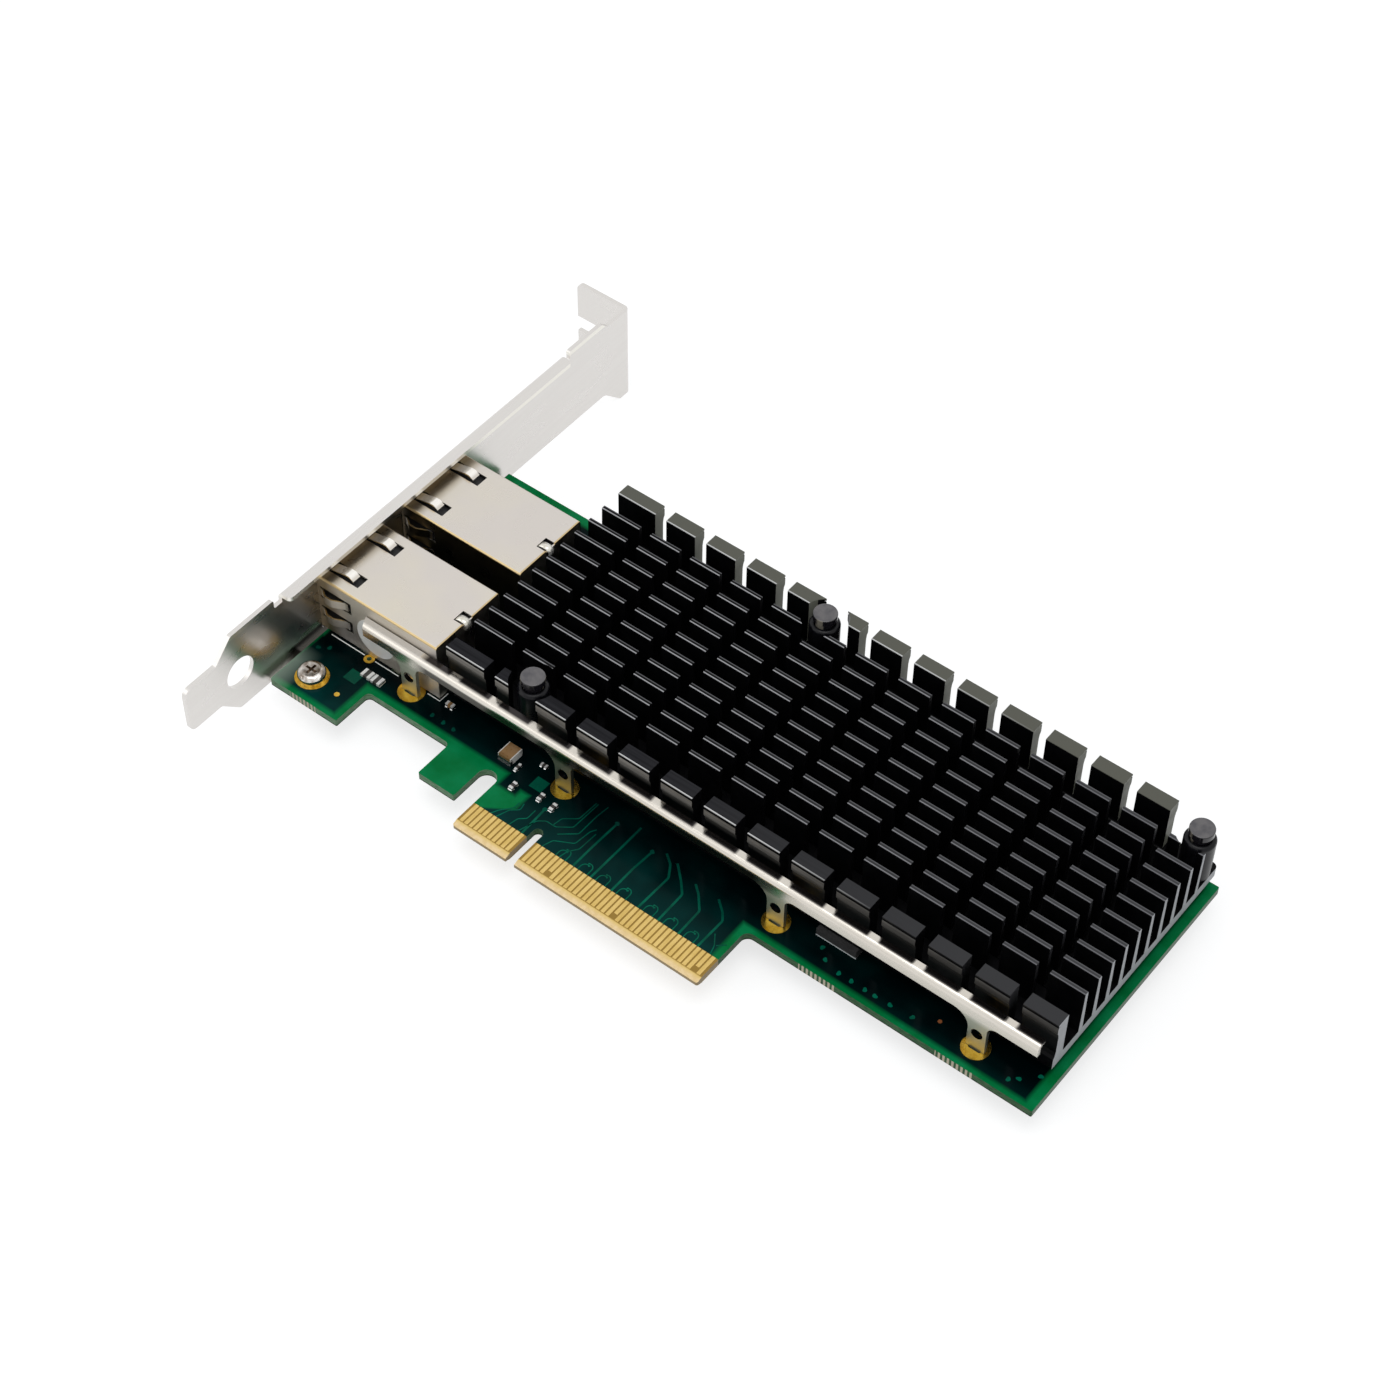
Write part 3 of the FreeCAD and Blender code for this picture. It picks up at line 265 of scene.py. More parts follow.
    def dress(self, *names):
        for name in names:
            item = nodes[name] if isinstance(name, str) else name
            item.data.materials.clear()
            item.data.materials.append(self.material)


def points_of(name):
    """The points of a CAD node, in metres."""
    shape = nodes[name].data
    points = np.empty(len(shape.vertices) * 3)
    shape.vertices.foreach_get("co", points)
    return points.reshape(-1, 3)


finger_top = points_of("edge_contacts_front")[:, 1].max()
copper_areas = ((-58.4, 94.0, 14.0, 67.2), (-58.6, -44.3, 5.4, 18.0), (-6.4, 38.4, 4.8, 18.0),
                (-10.6, -4.0, 12.4, 18.0), (-12.3, -8.0, 10.9, 18.0), (-16.4, -8.0, 14.2, 18.0))
slant_area = (-12.0, 0.0, 4.8, 18.0)
test_dot = (74.7 * mm, 18.1 * mm)
laminate_left = -14.0 * mm
bevel_line = 1.10 * mm
tab_rows = ((-54.0, -48.0, 4.0, 5.0), (50.2, 57.8, 12.6, 13.6), (77.2, 84.6, 12.6, 13.6))
tab_teeth_per_metre = 1150.0

mask = Paint("board_mask", 0.22, 0.0, 0.035)
planes = mask.either(*[mask.depth(*[edge * mm for edge in area]) for area in copper_areas])
slant = mask.calc("SUBTRACT", mask.calc("ADD", mask.x, 19.5 * mm),
                  mask.calc("MULTIPLY", mask.y, 1.5))
slant = mask.calc("MINIMUM", slant, mask.depth(*[edge * mm for edge in slant_area]))
over_copper = mask.ramp(mask.either(planes, slant), -0.3 * mm, 0.6 * mm)
green = mask.mottle((0.0, 0.150, 0.036), (0.003, 0.205, 0.066), 180, span=(0.35, 0.65))
drift = mask.ramp(mask.noise(120, 2.0), 0.38, 0.66)
# The teal darkens with y towards the rail: a painted shade of the rail.
teal_with_rail_shade = mask.blend(mask.ramp(mask.y, 6.5 * mm, 16.5 * mm),
                  mask.blend(drift, (0.0, 0.020, 0.019), (0.001, 0.036, 0.033)),
                  mask.blend(drift, (0.0, 0.0024, 0.0030), (0.0, 0.0068, 0.0068)))
surface = mask.blend(over_copper, green, teal_with_rail_shade)
# A paler veil on the mask next to the bracket: a painted reflection of the bracket.
bracket_reflection = mask.both(mask.ramp(mask.x, -58.6 * mm, -54.5 * mm, 0.72, 0.0),
                 mask.ramp(mask.y, 10.5 * mm, 14.5 * mm, 1.0, 0.0))
surface = mask.blend(bracket_reflection, surface, (0.29, 0.37, 0.30))
dot = mask.calc("ADD", *[mask.calc("POWER", mask.calc("SUBTRACT", line, middle), 2.0)
                         for line, middle in zip((mask.x, mask.y), test_dot)])
surface = mask.blend(mask.ramp(dot, (0.42 * mm) ** 2, (0.30 * mm) ** 2), surface,
                     (0.30, 0.10, 0.035))
# The bevel is painted much paler than the bare laminate above it: a painted highlight on the
# bevel.
lit_bevel = mask.mottle((0.84, 0.62, 0.31), (0.92, 0.70, 0.39), 1200, 2.0, span=(0.4, 0.6))
lit_bevel = mask.blend(mask.ramp(mask.y, 0.5 * mm, 1.2 * mm), lit_bevel, (0.80, 0.57, 0.18))
laminate = mask.blend(mask.ramp(mask.y, bevel_line, bevel_line + 0.18 * mm), lit_bevel,
                      (0.36, 0.22, 0.05))
bare = mask.both(mask.ramp(mask.y, finger_top + 0.1 * mm, finger_top - 0.1 * mm),
                 mask.ramp(mask.x, laminate_left, laminate_left + 0.2 * mm))
surface = mask.blend(bare, surface, laminate)
# The cut edge is painted lighter towards the bracket end than further along, as painted light
# and shade; its lowest line is darker.
shaded_edge = mask.mottle((0.030, 0.100, 0.042), (0.085, 0.165, 0.080), 900, 2.0, (1, 1, 6),
                       (0.4, 0.6))
lit_edge = mask.mottle((0.11, 0.23, 0.12), (0.22, 0.35, 0.22), 900, 2.0, (1, 1, 6),
                        (0.4, 0.6))
edge_tone = mask.blend(mask.ramp(mask.x, 0.0, -10.0 * mm), shaded_edge, lit_edge)
edge_tone = mask.blend(mask.ramp(mask.z, -1.25 * mm, -1.40 * mm), edge_tone,
                       (0.02, 0.03, 0.015))
edge_tone = mask.blend(bare, edge_tone, (0.46, 0.35, 0.20))
teeth = mask.over(mask.calc("FRACT", mask.calc("MULTIPLY", mask.x, tab_teeth_per_metre)), 0.5)
rows = mask.either(*[mask.depth(*[edge * mm for edge in row]) for row in tab_rows])
edge_tone = mask.blend(mask.both(teeth, mask.over(rows, 0.0)), edge_tone,
                       (0.62, 0.56, 0.42))
cut_face = mask.under(mask.calc("ABSOLUTE", mask.nz), 0.5)
mask.colour(mask.blend(cut_face, surface, edge_tone))
mask.vary_rough(mask.noise(300, 2.0), 0.12, 0.24)
mask.relief(mask.noise(700, 2.0), 0.000006)
mask.dress("circuit_board")


# Traces: copper lines under the mask on both faces, etched as long lines from the
# contacts up under the rail, with a pair of short hooks between each two of them.
def tube(rings, first_cap=True, last_cap=True):
    """A skin through rings of points, an array of (ring, corner, xyz): each corner joins
    the next corner and the next ring, and the two end rings are closed."""
    rings = np.asarray(rings, float)
    place = np.arange(rings.shape[0] * rings.shape[1]).reshape(rings.shape[:2])
    turned = np.roll(place, -1, 1)
    walls = np.stack([place[:-1], turned[:-1], turned[1:], place[1:]], -1).reshape(-1, 4)
    caps = [place[0, ::-1]] * first_cap + [place[-1]] * last_cap
    return rings.reshape(-1, 3), walls, np.array(caps)


def add_piece(name, skins, paint, smooth=False):
    """Join skins into one mesh in the part's own frame, carried by the root."""
    starts = np.cumsum([0] + [len(points) for points, walls, caps in skins])
    faces = []
    for start, (points, walls, caps) in zip(starts, skins):
        faces += (walls + start).tolist() + (caps + start).tolist()
    shape = bpy.data.meshes.new(name)
    shape.from_pydata(np.concatenate([skin[0] for skin in skins]).tolist(), [], faces)
    shape.validate()
    shape.update()
    shape.polygons.foreach_set("use_smooth", [smooth] * len(shape.polygons))
    piece = bpy.data.objects.new(name, shape)
    scene.collection.objects.link(piece)
    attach(piece, "root")
    paint.dress(piece)


def soften(run, reach=0.35):
    """Round each inner corner of a run by a quadratic curve: the corner, plus its arm
    back times (1 - share) squared, plus its arm ahead times share squared."""
    run = np.array(run, float)
    share = np.array((0.0, 0.33, 0.67, 1.0))[:, None]
    bent = run[1:-1, None]
    for ends, pull in ((run[:-2], (1 - share) ** 2), (run[2:], share ** 2)):
        arm = ends - run[1:-1]
        arm *= np.minimum(reach / np.linalg.norm(arm, axis=1, keepdims=True), 0.45)
        bent = bent + arm[:, None] * pull
    return np.vstack([run[:1], bent.reshape(-1, 2), run[-1:]])


def strip(run, width, low, high):
    """A flat strip along a run in millimetres: half the width to its left and right, at
    a low level sunk in the board and a high one outside it."""
    run = np.array(run, float)
    along = np.gradient(run, axis=0)
    along /= np.linalg.norm(along, axis=1)[:, None]
    out = np.stack([-along[:, 1], along[:, 0]], 1) * width / 2
    rings = np.empty((len(run), 4, 3))
    rings[:, :, :2] = np.stack([run + out, run - out, run - out, run + out], 1)
    rings[:, :, 2] = high, high, low, low
    return tube((rings if high > low else rings[::-1]) * mm)


def hook(x, way, rise):
    """Straight up to a rise, then a bend of over a quarter turn, 0.8 wide and 0.9 high."""
    angle = np.linspace(0.2, 2.0, 6)
    bend = np.stack([x + way * 0.8 * (1 - np.cos(angle)), rise + 0.9 * np.sin(angle)], 1)
    return np.vstack([(x, trace_foot), (x, rise), bend])


trace_foot = 5.6
long_lines = [
    [(9.0, 5.6), (9.0, 10.7), (9.2, 17.0)],
    [(12.8, 5.6), (12.9, 13.5), (12.9, 19.0)],
    [(17.2, 5.6), (17.2, 11.5), (17.5, 16.0)],
    [(22.8, 5.6), (23.0, 13.6), (21.5, 16.0), (19.6, 17.4)],
    [(27.0, 5.6), (26.9, 12.3), (25.1, 14.3), (22.3, 16.9)],
    [(31.3, 5.6), (31.2, 11.4), (29.0, 14.0), (27.3, 15.4)],
    [(35.3, 5.6), (35.4, 12.2), (34.3, 13.6), (32.2, 15.3)],
    [(-2.1, 5.6), (-2.3, 11.8)]]
fine_lines = [
    [(0.9, 10.2), (1.2, 12.2), (3.5, 14.0), (3.7, 18.4)],
    [(2.7, 9.2), (5.5, 11.5), (5.5, 16.2), (5.8, 19.0)],
    [(2.3, 5.6), (3.0, 7.7), (6.3, 9.5), (6.7, 13.0), (7.3, 14.0)],
    [(6.0, 5.6), (6.4, 7.5), (7.6, 9.0), (7.8, 13.2)],
    [(-2.9, 5.6), (-1.8, 9.2), (-0.5, 10.2), (1.5, 10.2), (3.9, 12.0), (4.1, 18.4)],
    [(-7.8, 5.6), (-6.9, 8.1), (-5.5, 9.3), (-5.8, 10.7)],
    [(-9.0, 5.6), (-8.3, 7.0), (-6.6, 9.0), (-6.6, 10.4)],
    [(-5.0, 5.6), (-4.6, 7.6), (-3.4, 8.6), (-3.4, 10.8)],
    [(37.9, 5.6), (37.4, 7.4), (36.0, 9.4)],
    [(37.6, 7.6), (38.9, 8.8)]]
hooks = [hook(start + offset, way, rise)
         for start in (9.0, 12.8, 17.2, 22.8, 27.0, 31.3, 4.3)
         for offset, way, rise in ((1.0, 1, 6.5), (3.0, -1, 6.9))]
trace_paint = Paint("mask_over_copper", 0.22, 0.0, 0.06)
# The traces darken with y towards the rail into the mask's teal: a painted shade of the rail.
rail_shade = trace_paint.both(trace_paint.ramp(trace_paint.y, 7.5 * mm, 17.5 * mm, 0.0, 0.8),
                        trace_paint.under(trace_paint.x, 45.0 * mm))
trace_tone = trace_paint.mottle((0.0, 0.080, 0.046), (0.0, 0.150, 0.085), 300,
                                span=(0.35, 0.65))
trace_paint.colour(trace_paint.blend(rail_shade, trace_tone, (0.0, 0.020, 0.018)))
trace_paint.vary_rough(trace_paint.noise(300, 2.0), 0.18, 0.26)
for name, low, high in (("traces_front", -0.01, 0.018), ("traces_back", -1.56, -1.588)):
    wide = [strip(soften(run), 0.42, low, high) for run in long_lines]
    fine = [strip(soften(run), 0.2, low, high) for run in fine_lines + hooks]
    add_piece(name, wide + fine, trace_paint)


# Vias and lands: plated holes and square copper lands under the mask, which shows them
# as low rounds and patches. A via ends each hook, and a row of them follows the lower
# right edge.
def disc(x, y, radius, low, high, sides=14):
    """A low uneven round in millimetres, open below: at angle a its radius is the given
    one times 1 + 0.16 sin(2a + 2.3x) + 0.10 sin(3a + 1.7y)."""
    angle = 2 * math.pi * np.arange(sides) / sides
    reach = radius * (1 + 0.16 * np.sin(2 * angle + 2.3 * x)
                      + 0.10 * np.sin(3 * angle + 1.7 * y))
    rings = np.empty((2, sides, 3))
    rings[:, :, 0] = x + reach * np.cos(angle)
    rings[:, :, 1] = y + reach * np.sin(angle)
    rings[:, :, 2] = [[low], [high]]
    return tube(rings * mm, first_cap=False)


via_row = [(51.4, 18.1), (53.2, 16.4), (56.5, 15.6), (59.0, 15.6), (61.7, 15.6),
           (63.7, 15.6), (66.6, 15.7), (70.8, 16.0), (89.4, 15.8), (90.7, 16.9),
           (93.2, 19.4), (-57.0, 15.1), (-55.3, 16.2), (-30.9, 15.8), (-28.3, 15.7),
           (-25.9, 15.6), (9.2, 17.2), (17.5, 16.2), (-2.3, 12.0)]
land_runs = [[(-48.9, 13.9), (-46.2, 13.9)], [(-7.8, 15.5), (-5.2, 15.5)]]
add_piece("covered_vias", [disc(x, y, 0.42, -0.01, 0.02) for x, y in via_row],
          trace_paint)
add_piece("hook_vias", [disc(*run[-1], 0.19, -0.01, 0.022) for run in hooks],
          trace_paint)


def plain(name, low, high, rough, metal=0.0, gloss=0.5, scale=600, stretch=(1, 1, 1),
          relief=0.00001):
    """A surface of one stuff, its tone, sheen and grain drifting a little."""
    paint = Paint(name, rough, metal, gloss)
    paint.colour(paint.mottle(low, high, scale, 4.0, stretch))
    paint.vary_rough(paint.noise(scale * 0.37, 2.0, stretch), rough * 0.85, rough * 1.2)
    paint.relief(paint.noise(scale * 3, 2.0, stretch), relief)
    return paint


land_paint = plain("mask_over_land", (0.0, 0.045, 0.028), (0.0, 0.08, 0.045), 0.22, 0.0,
                   0.1, 220)
add_piece("land_patches", [strip(run, 2.6, -0.01, 0.012) for run in land_runs],
          land_paint)

# Silkscreen: lines of white ink printed on the mask, the outline of the jacks broken at
# the test ring and a corner mark beside the first stiffener foot.
screen_lines = [[(-57.2, 18.8), (-49.3, 18.8)], [(-46.9, 18.8), (-41.4, 18.8)],
                [(-34.8, 19.0), (-32.0, 19.0), (-32.0, 21.2)]]
ink = plain("white_ink", (0.78, 0.82, 0.80), (0.90, 0.92, 0.90), 0.5, 0.0, 0.3, 2500)
add_piece("silkscreen", [strip(run, 0.2, -0.01, 0.016) for run in screen_lines],
          ink)

# Gold: plated copper, pale and brushed on the edge contacts and the plug contacts,
# deep and uneven on the bare rings.
plain("finger_gold", (0.64, 0.44, 0.13), (0.76, 0.55, 0.20), 0.24, 1.0, 0.5, 900,
      (1, 0.3, 1)).dress("edge_contacts_front", "edge_contacts_back",
                         "near_jack_contacts", "far_jack_contacts")
plain("ring_gold", (0.62, 0.33, 0.02), (0.92, 0.60, 0.10), 0.26, 1.0, 0.5,
      700).dress("ring_pads")

# Bracket: a folded sheet of satin nickelled steel, held to the board by two screws. It
# has a faint rolled grain along its length and bright sheared edges, and a painted shade
# darkens it in the slit behind the board's end.
sheared_line = 14.93 * mm
slit_low, slit_high = 9.5 * mm, 66.5 * mm
steel = Paint("bracket_steel", 0.27, 1.0)
sheet_tone = steel.mottle((0.685, 0.662, 0.638), (0.700, 0.680, 0.655), 500, 3.0,
                          (3, 0.15, 3))
# The inner face in the slit behind the board's end is painted dark: a painted shade.
slit_shade = steel.both(steel.ramp(steel.z, 0.9 * mm, 1.6 * mm, 1.0, 0.0),
                  steel.over(steel.nx, 0.8),
                  steel.ramp(steel.depth(-1.0, 1.0, slit_low, slit_high), 0.0, 2.0 * mm))
sheet_tone = steel.blend(slit_shade, sheet_tone, (0.05, 0.045, 0.035))
sheared = steel.both(steel.over(steel.z, sheared_line),
                     steel.under(steel.calc("ABSOLUTE", steel.nz), 0.6))
steel.colour(steel.blend(sheared, sheet_tone, (0.80, 0.78, 0.72)))
steel.vary_rough(steel.noise(220, 2.0, (1, 0.4, 1)), 0.26, 0.31)
steel.dress("bracket")

# Bracket screws: steel, bright nickel plated, driven through the board into the
# bracket's lugs. They are a little uneven, and a painted shade darkens the cross recess
# of each head.
lug_x = -53.2 * mm
lugs = (9.4 * mm, 63.5 * mm)
nickel = Paint("screw_nickel", 0.14, 1.0)
nickel_tone = nickel.mottle((0.36, 0.31, 0.27), (0.92, 0.90, 0.87), 900, span=(0.35, 0.65))
# The cross recess of each head is painted dark: a painted shade.
recess_shade = nickel.both(nickel.ramp(nickel.z, 1.10 * mm, 1.75 * mm, 1.0, 0.0),
                     nickel.ramp(nickel.off(nickel.x, lug_x), 1.2 * mm, 1.5 * mm, 1.0, 0.0))
for lug in lugs:
    near_lug = nickel.ramp(nickel.off(nickel.y, lug), 1.2 * mm, 1.5 * mm, 1.0, 0.0)
    nickel_tone = nickel.blend(nickel.both(recess_shade, near_lug), nickel_tone,
                               (0.24, 0.18, 0.13))
nickel.colour(nickel_tone)
nickel.vary_rough(nickel.noise(700, 2.0), 0.10, 0.20)
nickel.relief(nickel.noise(900, 2.0), 0.00008)
nickel.dress("bracket_screws")

# Jack shields: folded from warm tin plate and soldered down by their legs, with brass
# showing on every sheared edge of the top, the rear edge and the grounding springs. A
# painted shade darkens the shield near its front, painted highlights light the crests of
# the springs, and a painted shade darkens the sides that face the gap between the jacks.
# In the notch of each top sits a bright bent catch.
jack_top = 13.1 * mm
rear_from_front = 28.7 * mm
side_from_spring = 1.12 * mm
catch_run = np.array([(-2.0, -0.12), (-1.5, 0.16), (-0.9, 0.30), (-0.2, 0.26),
                      (0.35, -0.02), (0.55, -0.45), (0.55, -1.20)]) * mm
catch_sides = np.array([0.35, -1.05, -1.05, 0.35]) * mm
catch_gauge = np.array([0.0, 0.0, -0.12, -0.12]) * mm
catches = []
for name in ("near", "far"):
    shield = points_of(name + "_jack_shield")
    front_line = shield[:, 0].min()
    rear_line = front_line + rear_from_front
    side_line = shield[:, 1].min() + side_from_spring
    tin = Paint(name + "_shield_tin", 0.3, 1.0)
    tone = tin.mottle((0.64, 0.60, 0.56), (0.67, 0.625, 0.54), 70, span=(0.42, 0.68))
    # The shield is painted darker brown near its front: a painted shade.
    front_shade = tin.both(tin.ramp(tin.x, front_line + 3.0 * mm, front_line + 6.2 * mm, 1.0, 0.0),
                    tin.ramp(tin.z, jack_top + 0.12 * mm, jack_top + 0.6 * mm, 1.0, 0.0))
    tone = tin.blend(front_shade, tone, (0.34, 0.27, 0.17))
    side_edge = tin.both(tin.over(tin.z, jack_top - 0.42 * mm),
                         tin.under(tin.y, side_line + 0.30 * mm))
    rear_edge = tin.both(tin.over(tin.x, rear_line - 0.28 * mm),
                         tin.over(tin.z, jack_top - 0.30 * mm))
    top_springs = tin.both(tin.over(tin.z, jack_top + 0.02 * mm),
                           tin.over(tin.calc("ABSOLUTE", tin.ny), 0.7))
    side_springs = tin.both(tin.under(tin.y, side_line - 0.02 * mm),
                            tin.over(tin.calc("ABSOLUTE", tin.nz), 0.7))
    brass = tin.either(side_edge, rear_edge, top_springs, side_springs)
    # The crests of the top springs are painted near white: a painted highlight.
    crest_highlight = tin.ramp(tin.z, jack_top + 0.4 * mm, jack_top + 0.7 * mm)
    tone = tin.blend(crest_highlight, tone, (0.90, 0.87, 0.82))
    # The sides facing the gap between the jacks are painted dark: a painted shade.
    towards_gap = tin.ny if name == "near" else tin.calc("MULTIPLY", tin.ny, -1.0)
    gap_shade = tin.both(tin.over(towards_gap, 0.8), tin.under(tin.z, jack_top - 0.4 * mm))
    tone = tin.blend(gap_shade, tone, (0.20, 0.165, 0.11))
    dull_side = tin.both(tin.under(tin.ny, -0.8), 0.22 if name == "near" else 0.0)
    tin.colour(tin.blend(brass, tone, (0.60, 0.46, 0.24)))
    tin.feed(tin.base.inputs["Roughness"], tin.calc(
        "ADD", tin.ramp(tin.noise(260, 2.0), 0.3, 0.7, 0.26, 0.34), dull_side))
    tin.relief(tin.noise(900, 2.0), 0.000004)
    tin.dress(name + "_jack_shield")
    rings = np.empty((len(catch_run), 4, 3))
    rings[:, :, 0] = rear_line + catch_run[:, :1] + catch_gauge * 0.6
    rings[:, :, 1] = (shield[:, 1].min() + shield[:, 1].max()) / 2 + catch_sides
    rings[:, :, 2] = jack_top + catch_run[:, 1:] + catch_gauge
    catches.append(tube(rings))
catch_tin = plain("catch_tin", (0.62, 0.59, 0.50), (0.97, 0.95, 0.90), 0.22, 0.6, 0.5, 900,
                  (1, 1, 1), 0.00006)
add_piece("rear_catches", catches, catch_tin, True)

# Inside the jacks: a black moulded insulator, clear light windows and tinned tails. A
# round sticker of white film lies on the near jack's side.
plain("insulator", (0.010, 0.010, 0.011), (0.022, 0.022, 0.023), 0.45, 0.0, 0.4,
      900).dress("near_jack_housing", "far_jack_housing")
plain("light_window", (0.70, 0.74, 0.66), (0.84, 0.85, 0.80), 0.25, 0.0, 0.5,
      700).dress("near_jack_lights", "far_jack_lights")
plain("jack_tails", (0.72, 0.71, 0.68), (0.92, 0.91, 0.88), 0.22, 1.0, 0.5, 1800,
      (1, 1, 1), 0.00003).dress("near_jack_pins", "far_jack_pins")
plain("label_film", (0.80, 0.80, 0.77), (0.88, 0.88, 0.85), 0.35, 0.0, 0.5,
      400).dress("port_label")


# Tail solder: on the board's back, solder cones wet up round the tails of the jacks and
# the legs of their shields. A square tail carries one for each of its faces, and they
# run together.
def faces_of(name):
    """Low and high corners of each smooth face in a CAD node, whose mesh is split at its
    sharp edges: points that share an edge take the lower of their labels, until no label
    changes."""
    shape = nodes[name].data
    edges = np.empty(len(shape.edges) * 2, np.int32)
    shape.edges.foreach_get("vertices", edges)
    label = np.arange(len(shape.vertices))
    while True:
        lowest = label[edges].reshape(-1, 2).min(1).repeat(2)
        lower = label.copy()
        np.minimum.at(lower, edges, lowest)
        if (lower == label).all():
            break
        label = lower
    groups = [points_of(name)[label == one] for one in np.unique(label)]
    return [(group.min(0), group.max(0)) for group in groups]


solder_face = points_of("circuit_board")[:, 2].min()
leg_reach = -2.6 * mm
cone_sides = 16


def cone(x, y, wide, slim):
    """Rings of a cone hanging from the board's back, open at the board, its radius
    falling from wide to less than slim."""
    angle = 2 * math.pi * np.arange(cone_sides) / cone_sides
    radius = np.array([slim * 0.6, slim * 1.15, wide * 0.72, wide])[:, None]
    rings = np.empty((len(radius), cone_sides, 3))
    rings[:, :, 0] = x + radius * np.cos(angle)
    rings[:, :, 1] = y + radius * np.sin(angle)
    rings[:, :, 2] = solder_face - np.array([[0.95], [0.62], [0.22], [0.0]]) * mm
    return tube(rings, last_cap=False)


cones = []
for name in ("near", "far"):
    for low, high in faces_of(name + "_jack_pins"):
        x, y, _ = (low + high) / 2
        cones.append(cone(x, y, 0.82 * mm, 0.36 * mm))
for name in ("near", "far"):
    legs = points_of(name + "_jack_shield")
    legs = legs[legs[:, 2] < leg_reach]
    for side in (legs[:, 1].min(), legs[:, 1].max()):
        line = legs[np.abs(legs[:, 1] - side) < 0.5 * mm]
        split = (line[:, 0].min() + line[:, 0].max()) / 2
        for leg in (line[line[:, 0] < split], line[line[:, 0] > split]):
            cones.append(cone(leg[:, 0].mean(), leg[:, 1].mean(), 1.25 * mm, 0.75 * mm))
solder = plain("solder", (0.60, 0.60, 0.59), (0.82, 0.82, 0.81), 0.24, 1.0, 0.5, 1400,
               (1, 1, 1), 0.00003)
add_piece("tail_solder", cones, solder, True)

# Chips: fired ceramic capacitors and resistors with tinned ends, moulded packages and
# a crystal in its can. The large capacitor's ends wrap its two short sides.
large_area = (-16.4, -12.2, 15.2, 19.0)
large_middle = -14.3 * mm
body_half = 1.22 * mm
for name, low_tone, high_tone, metal, node in (
        ("fired_ceramic", (0.20, 0.105, 0.035), (0.34, 0.20, 0.085), 0.0,
         "ceramic_capacitors"),
        ("tinned_ends", (0.76, 0.76, 0.74), (0.90, 0.90, 0.88), 0.35, "chip_terminals")):
    chip = Paint(name, 0.34, metal, 0.5)
    tone = chip.mottle(low_tone, high_tone, 1500)
    large = chip.over(chip.depth(*[edge * mm for edge in large_area]), 0.0)
    ends = chip.ramp(chip.off(chip.x, large_middle), body_half, body_half + 0.06 * mm)
    ceramic = chip.blend(chip.noise(1500), (0.24, 0.13, 0.045), (0.33, 0.19, 0.08))
    chip.colour(chip.blend(large, tone, chip.blend(ends, ceramic, (0.80, 0.79, 0.75))))
    chip.vary_rough(chip.noise(1800, 2.0), 0.26, 0.40)
    chip.relief(chip.noise(2500, 2.0), 0.00002)
    chip.dress(node)
plain("dark_ceramic", (0.02, 0.018, 0.016), (0.07, 0.065, 0.06), 0.35, 0.0, 0.5,
      2200).dress("chip_resistors")
plain("mould_resin", (0.018, 0.018, 0.019), (0.034, 0.034, 0.036), 0.5, 0.0, 0.4,
      2000).dress("controller_chip", "flash_memory")
plain("crystal_can", (0.55, 0.53, 0.49), (0.65, 0.63, 0.58), 0.28, 1.0, 0.5,
      700).dress("clock_crystal")
# A light line along the bottom of the regulator's front face: a painted highlight.
highlight_top = 0.28 * mm
highlight_front = 19.70 * mm
regulator = Paint("regulator_resin", 0.4, 0.0, 0.5)
bottom_highlight = regulator.both(regulator.ramp(regulator.z, highlight_top + 0.06 * mm, highlight_top),
                      regulator.ramp(regulator.y, highlight_front + 0.05 * mm, highlight_front))
resin = regulator.blend(regulator.noise(1500), (0.035, 0.034, 0.034), (0.055, 0.054, 0.054))
regulator.colour(regulator.blend(bottom_highlight, resin, (0.65, 0.68, 0.68)))
regulator.dress("voltage_regulator")

# Chip solder: sloped fillets wet from the board up the faces of each tinned end, on the
# side that looks away from the nearest face of a chip's body.
body_faces = faces_of("ceramic_capacitors") + faces_of("chip_resistors")
body_middles = np.array([(low + high) / 2 for low, high in body_faces])
fillet_reach = np.array([0.0, 0.07, 0.18, 0.18, 0.0]) * mm
fillet_share = 0.6
fillets = []
for low, high in faces_of("chip_terminals"):
    middle = (low + high) / 2
    nearest = np.argmin(np.linalg.norm(body_middles[:, :2] - middle[:2], axis=1))
    out = middle[:2] - body_middles[nearest, :2]
    axis = int(np.argmax(np.abs(out)))
    cross = 1 - axis
    way = 1 if out[axis] > 0 else -1
    tall = (high[2] - low[2]) * fillet_share
    rings = np.empty((2, len(fillet_reach), 3))
    rings[:, :, axis] = (high if way > 0 else low)[axis] + way * fillet_reach
    rings[:, :, cross] = [[low[cross]], [high[cross]]]
    rings[:, :, 2] = tall, tall * 0.42, 0.02 * mm, 0.0, 0.0
    outward = way > 0 if axis == 0 else way < 0
    fillets.append(tube(rings if outward else rings[::-1]))
add_piece("chip_solder", fillets, solder)

# Stiffener: a polished steel strip with hairlines along it, on four satin feet soldered
# into the board. Painted reflections lie in its colour: its flange is dark between bright
# spots opposite the cross cuts and pale at its near end, its wall is dark over the
# tongue and its feet are greenish; the holes in its feet are painted black as a painted
# shade.
spot_pitch = 8.79 * mm
first_spot = 16.77 * mm
flange_level = 10.0 * mm
flange_line = 17.7 * mm
rail = Paint("rail_steel", 0.12, 1.0)
hairline = rail.noise(900, 3.0, (0.05, 1, 1))
tone = rail.blend(rail.ramp(hairline, 0.3, 0.7), (0.63, 0.59, 0.53), (0.70, 0.665, 0.605))
from_spot = rail.calc("ABSOLUTE", rail.from_row(rail.x, first_spot, spot_pitch))
on_flange = rail.ramp(rail.z, flange_level, flange_level + 0.2 * mm)
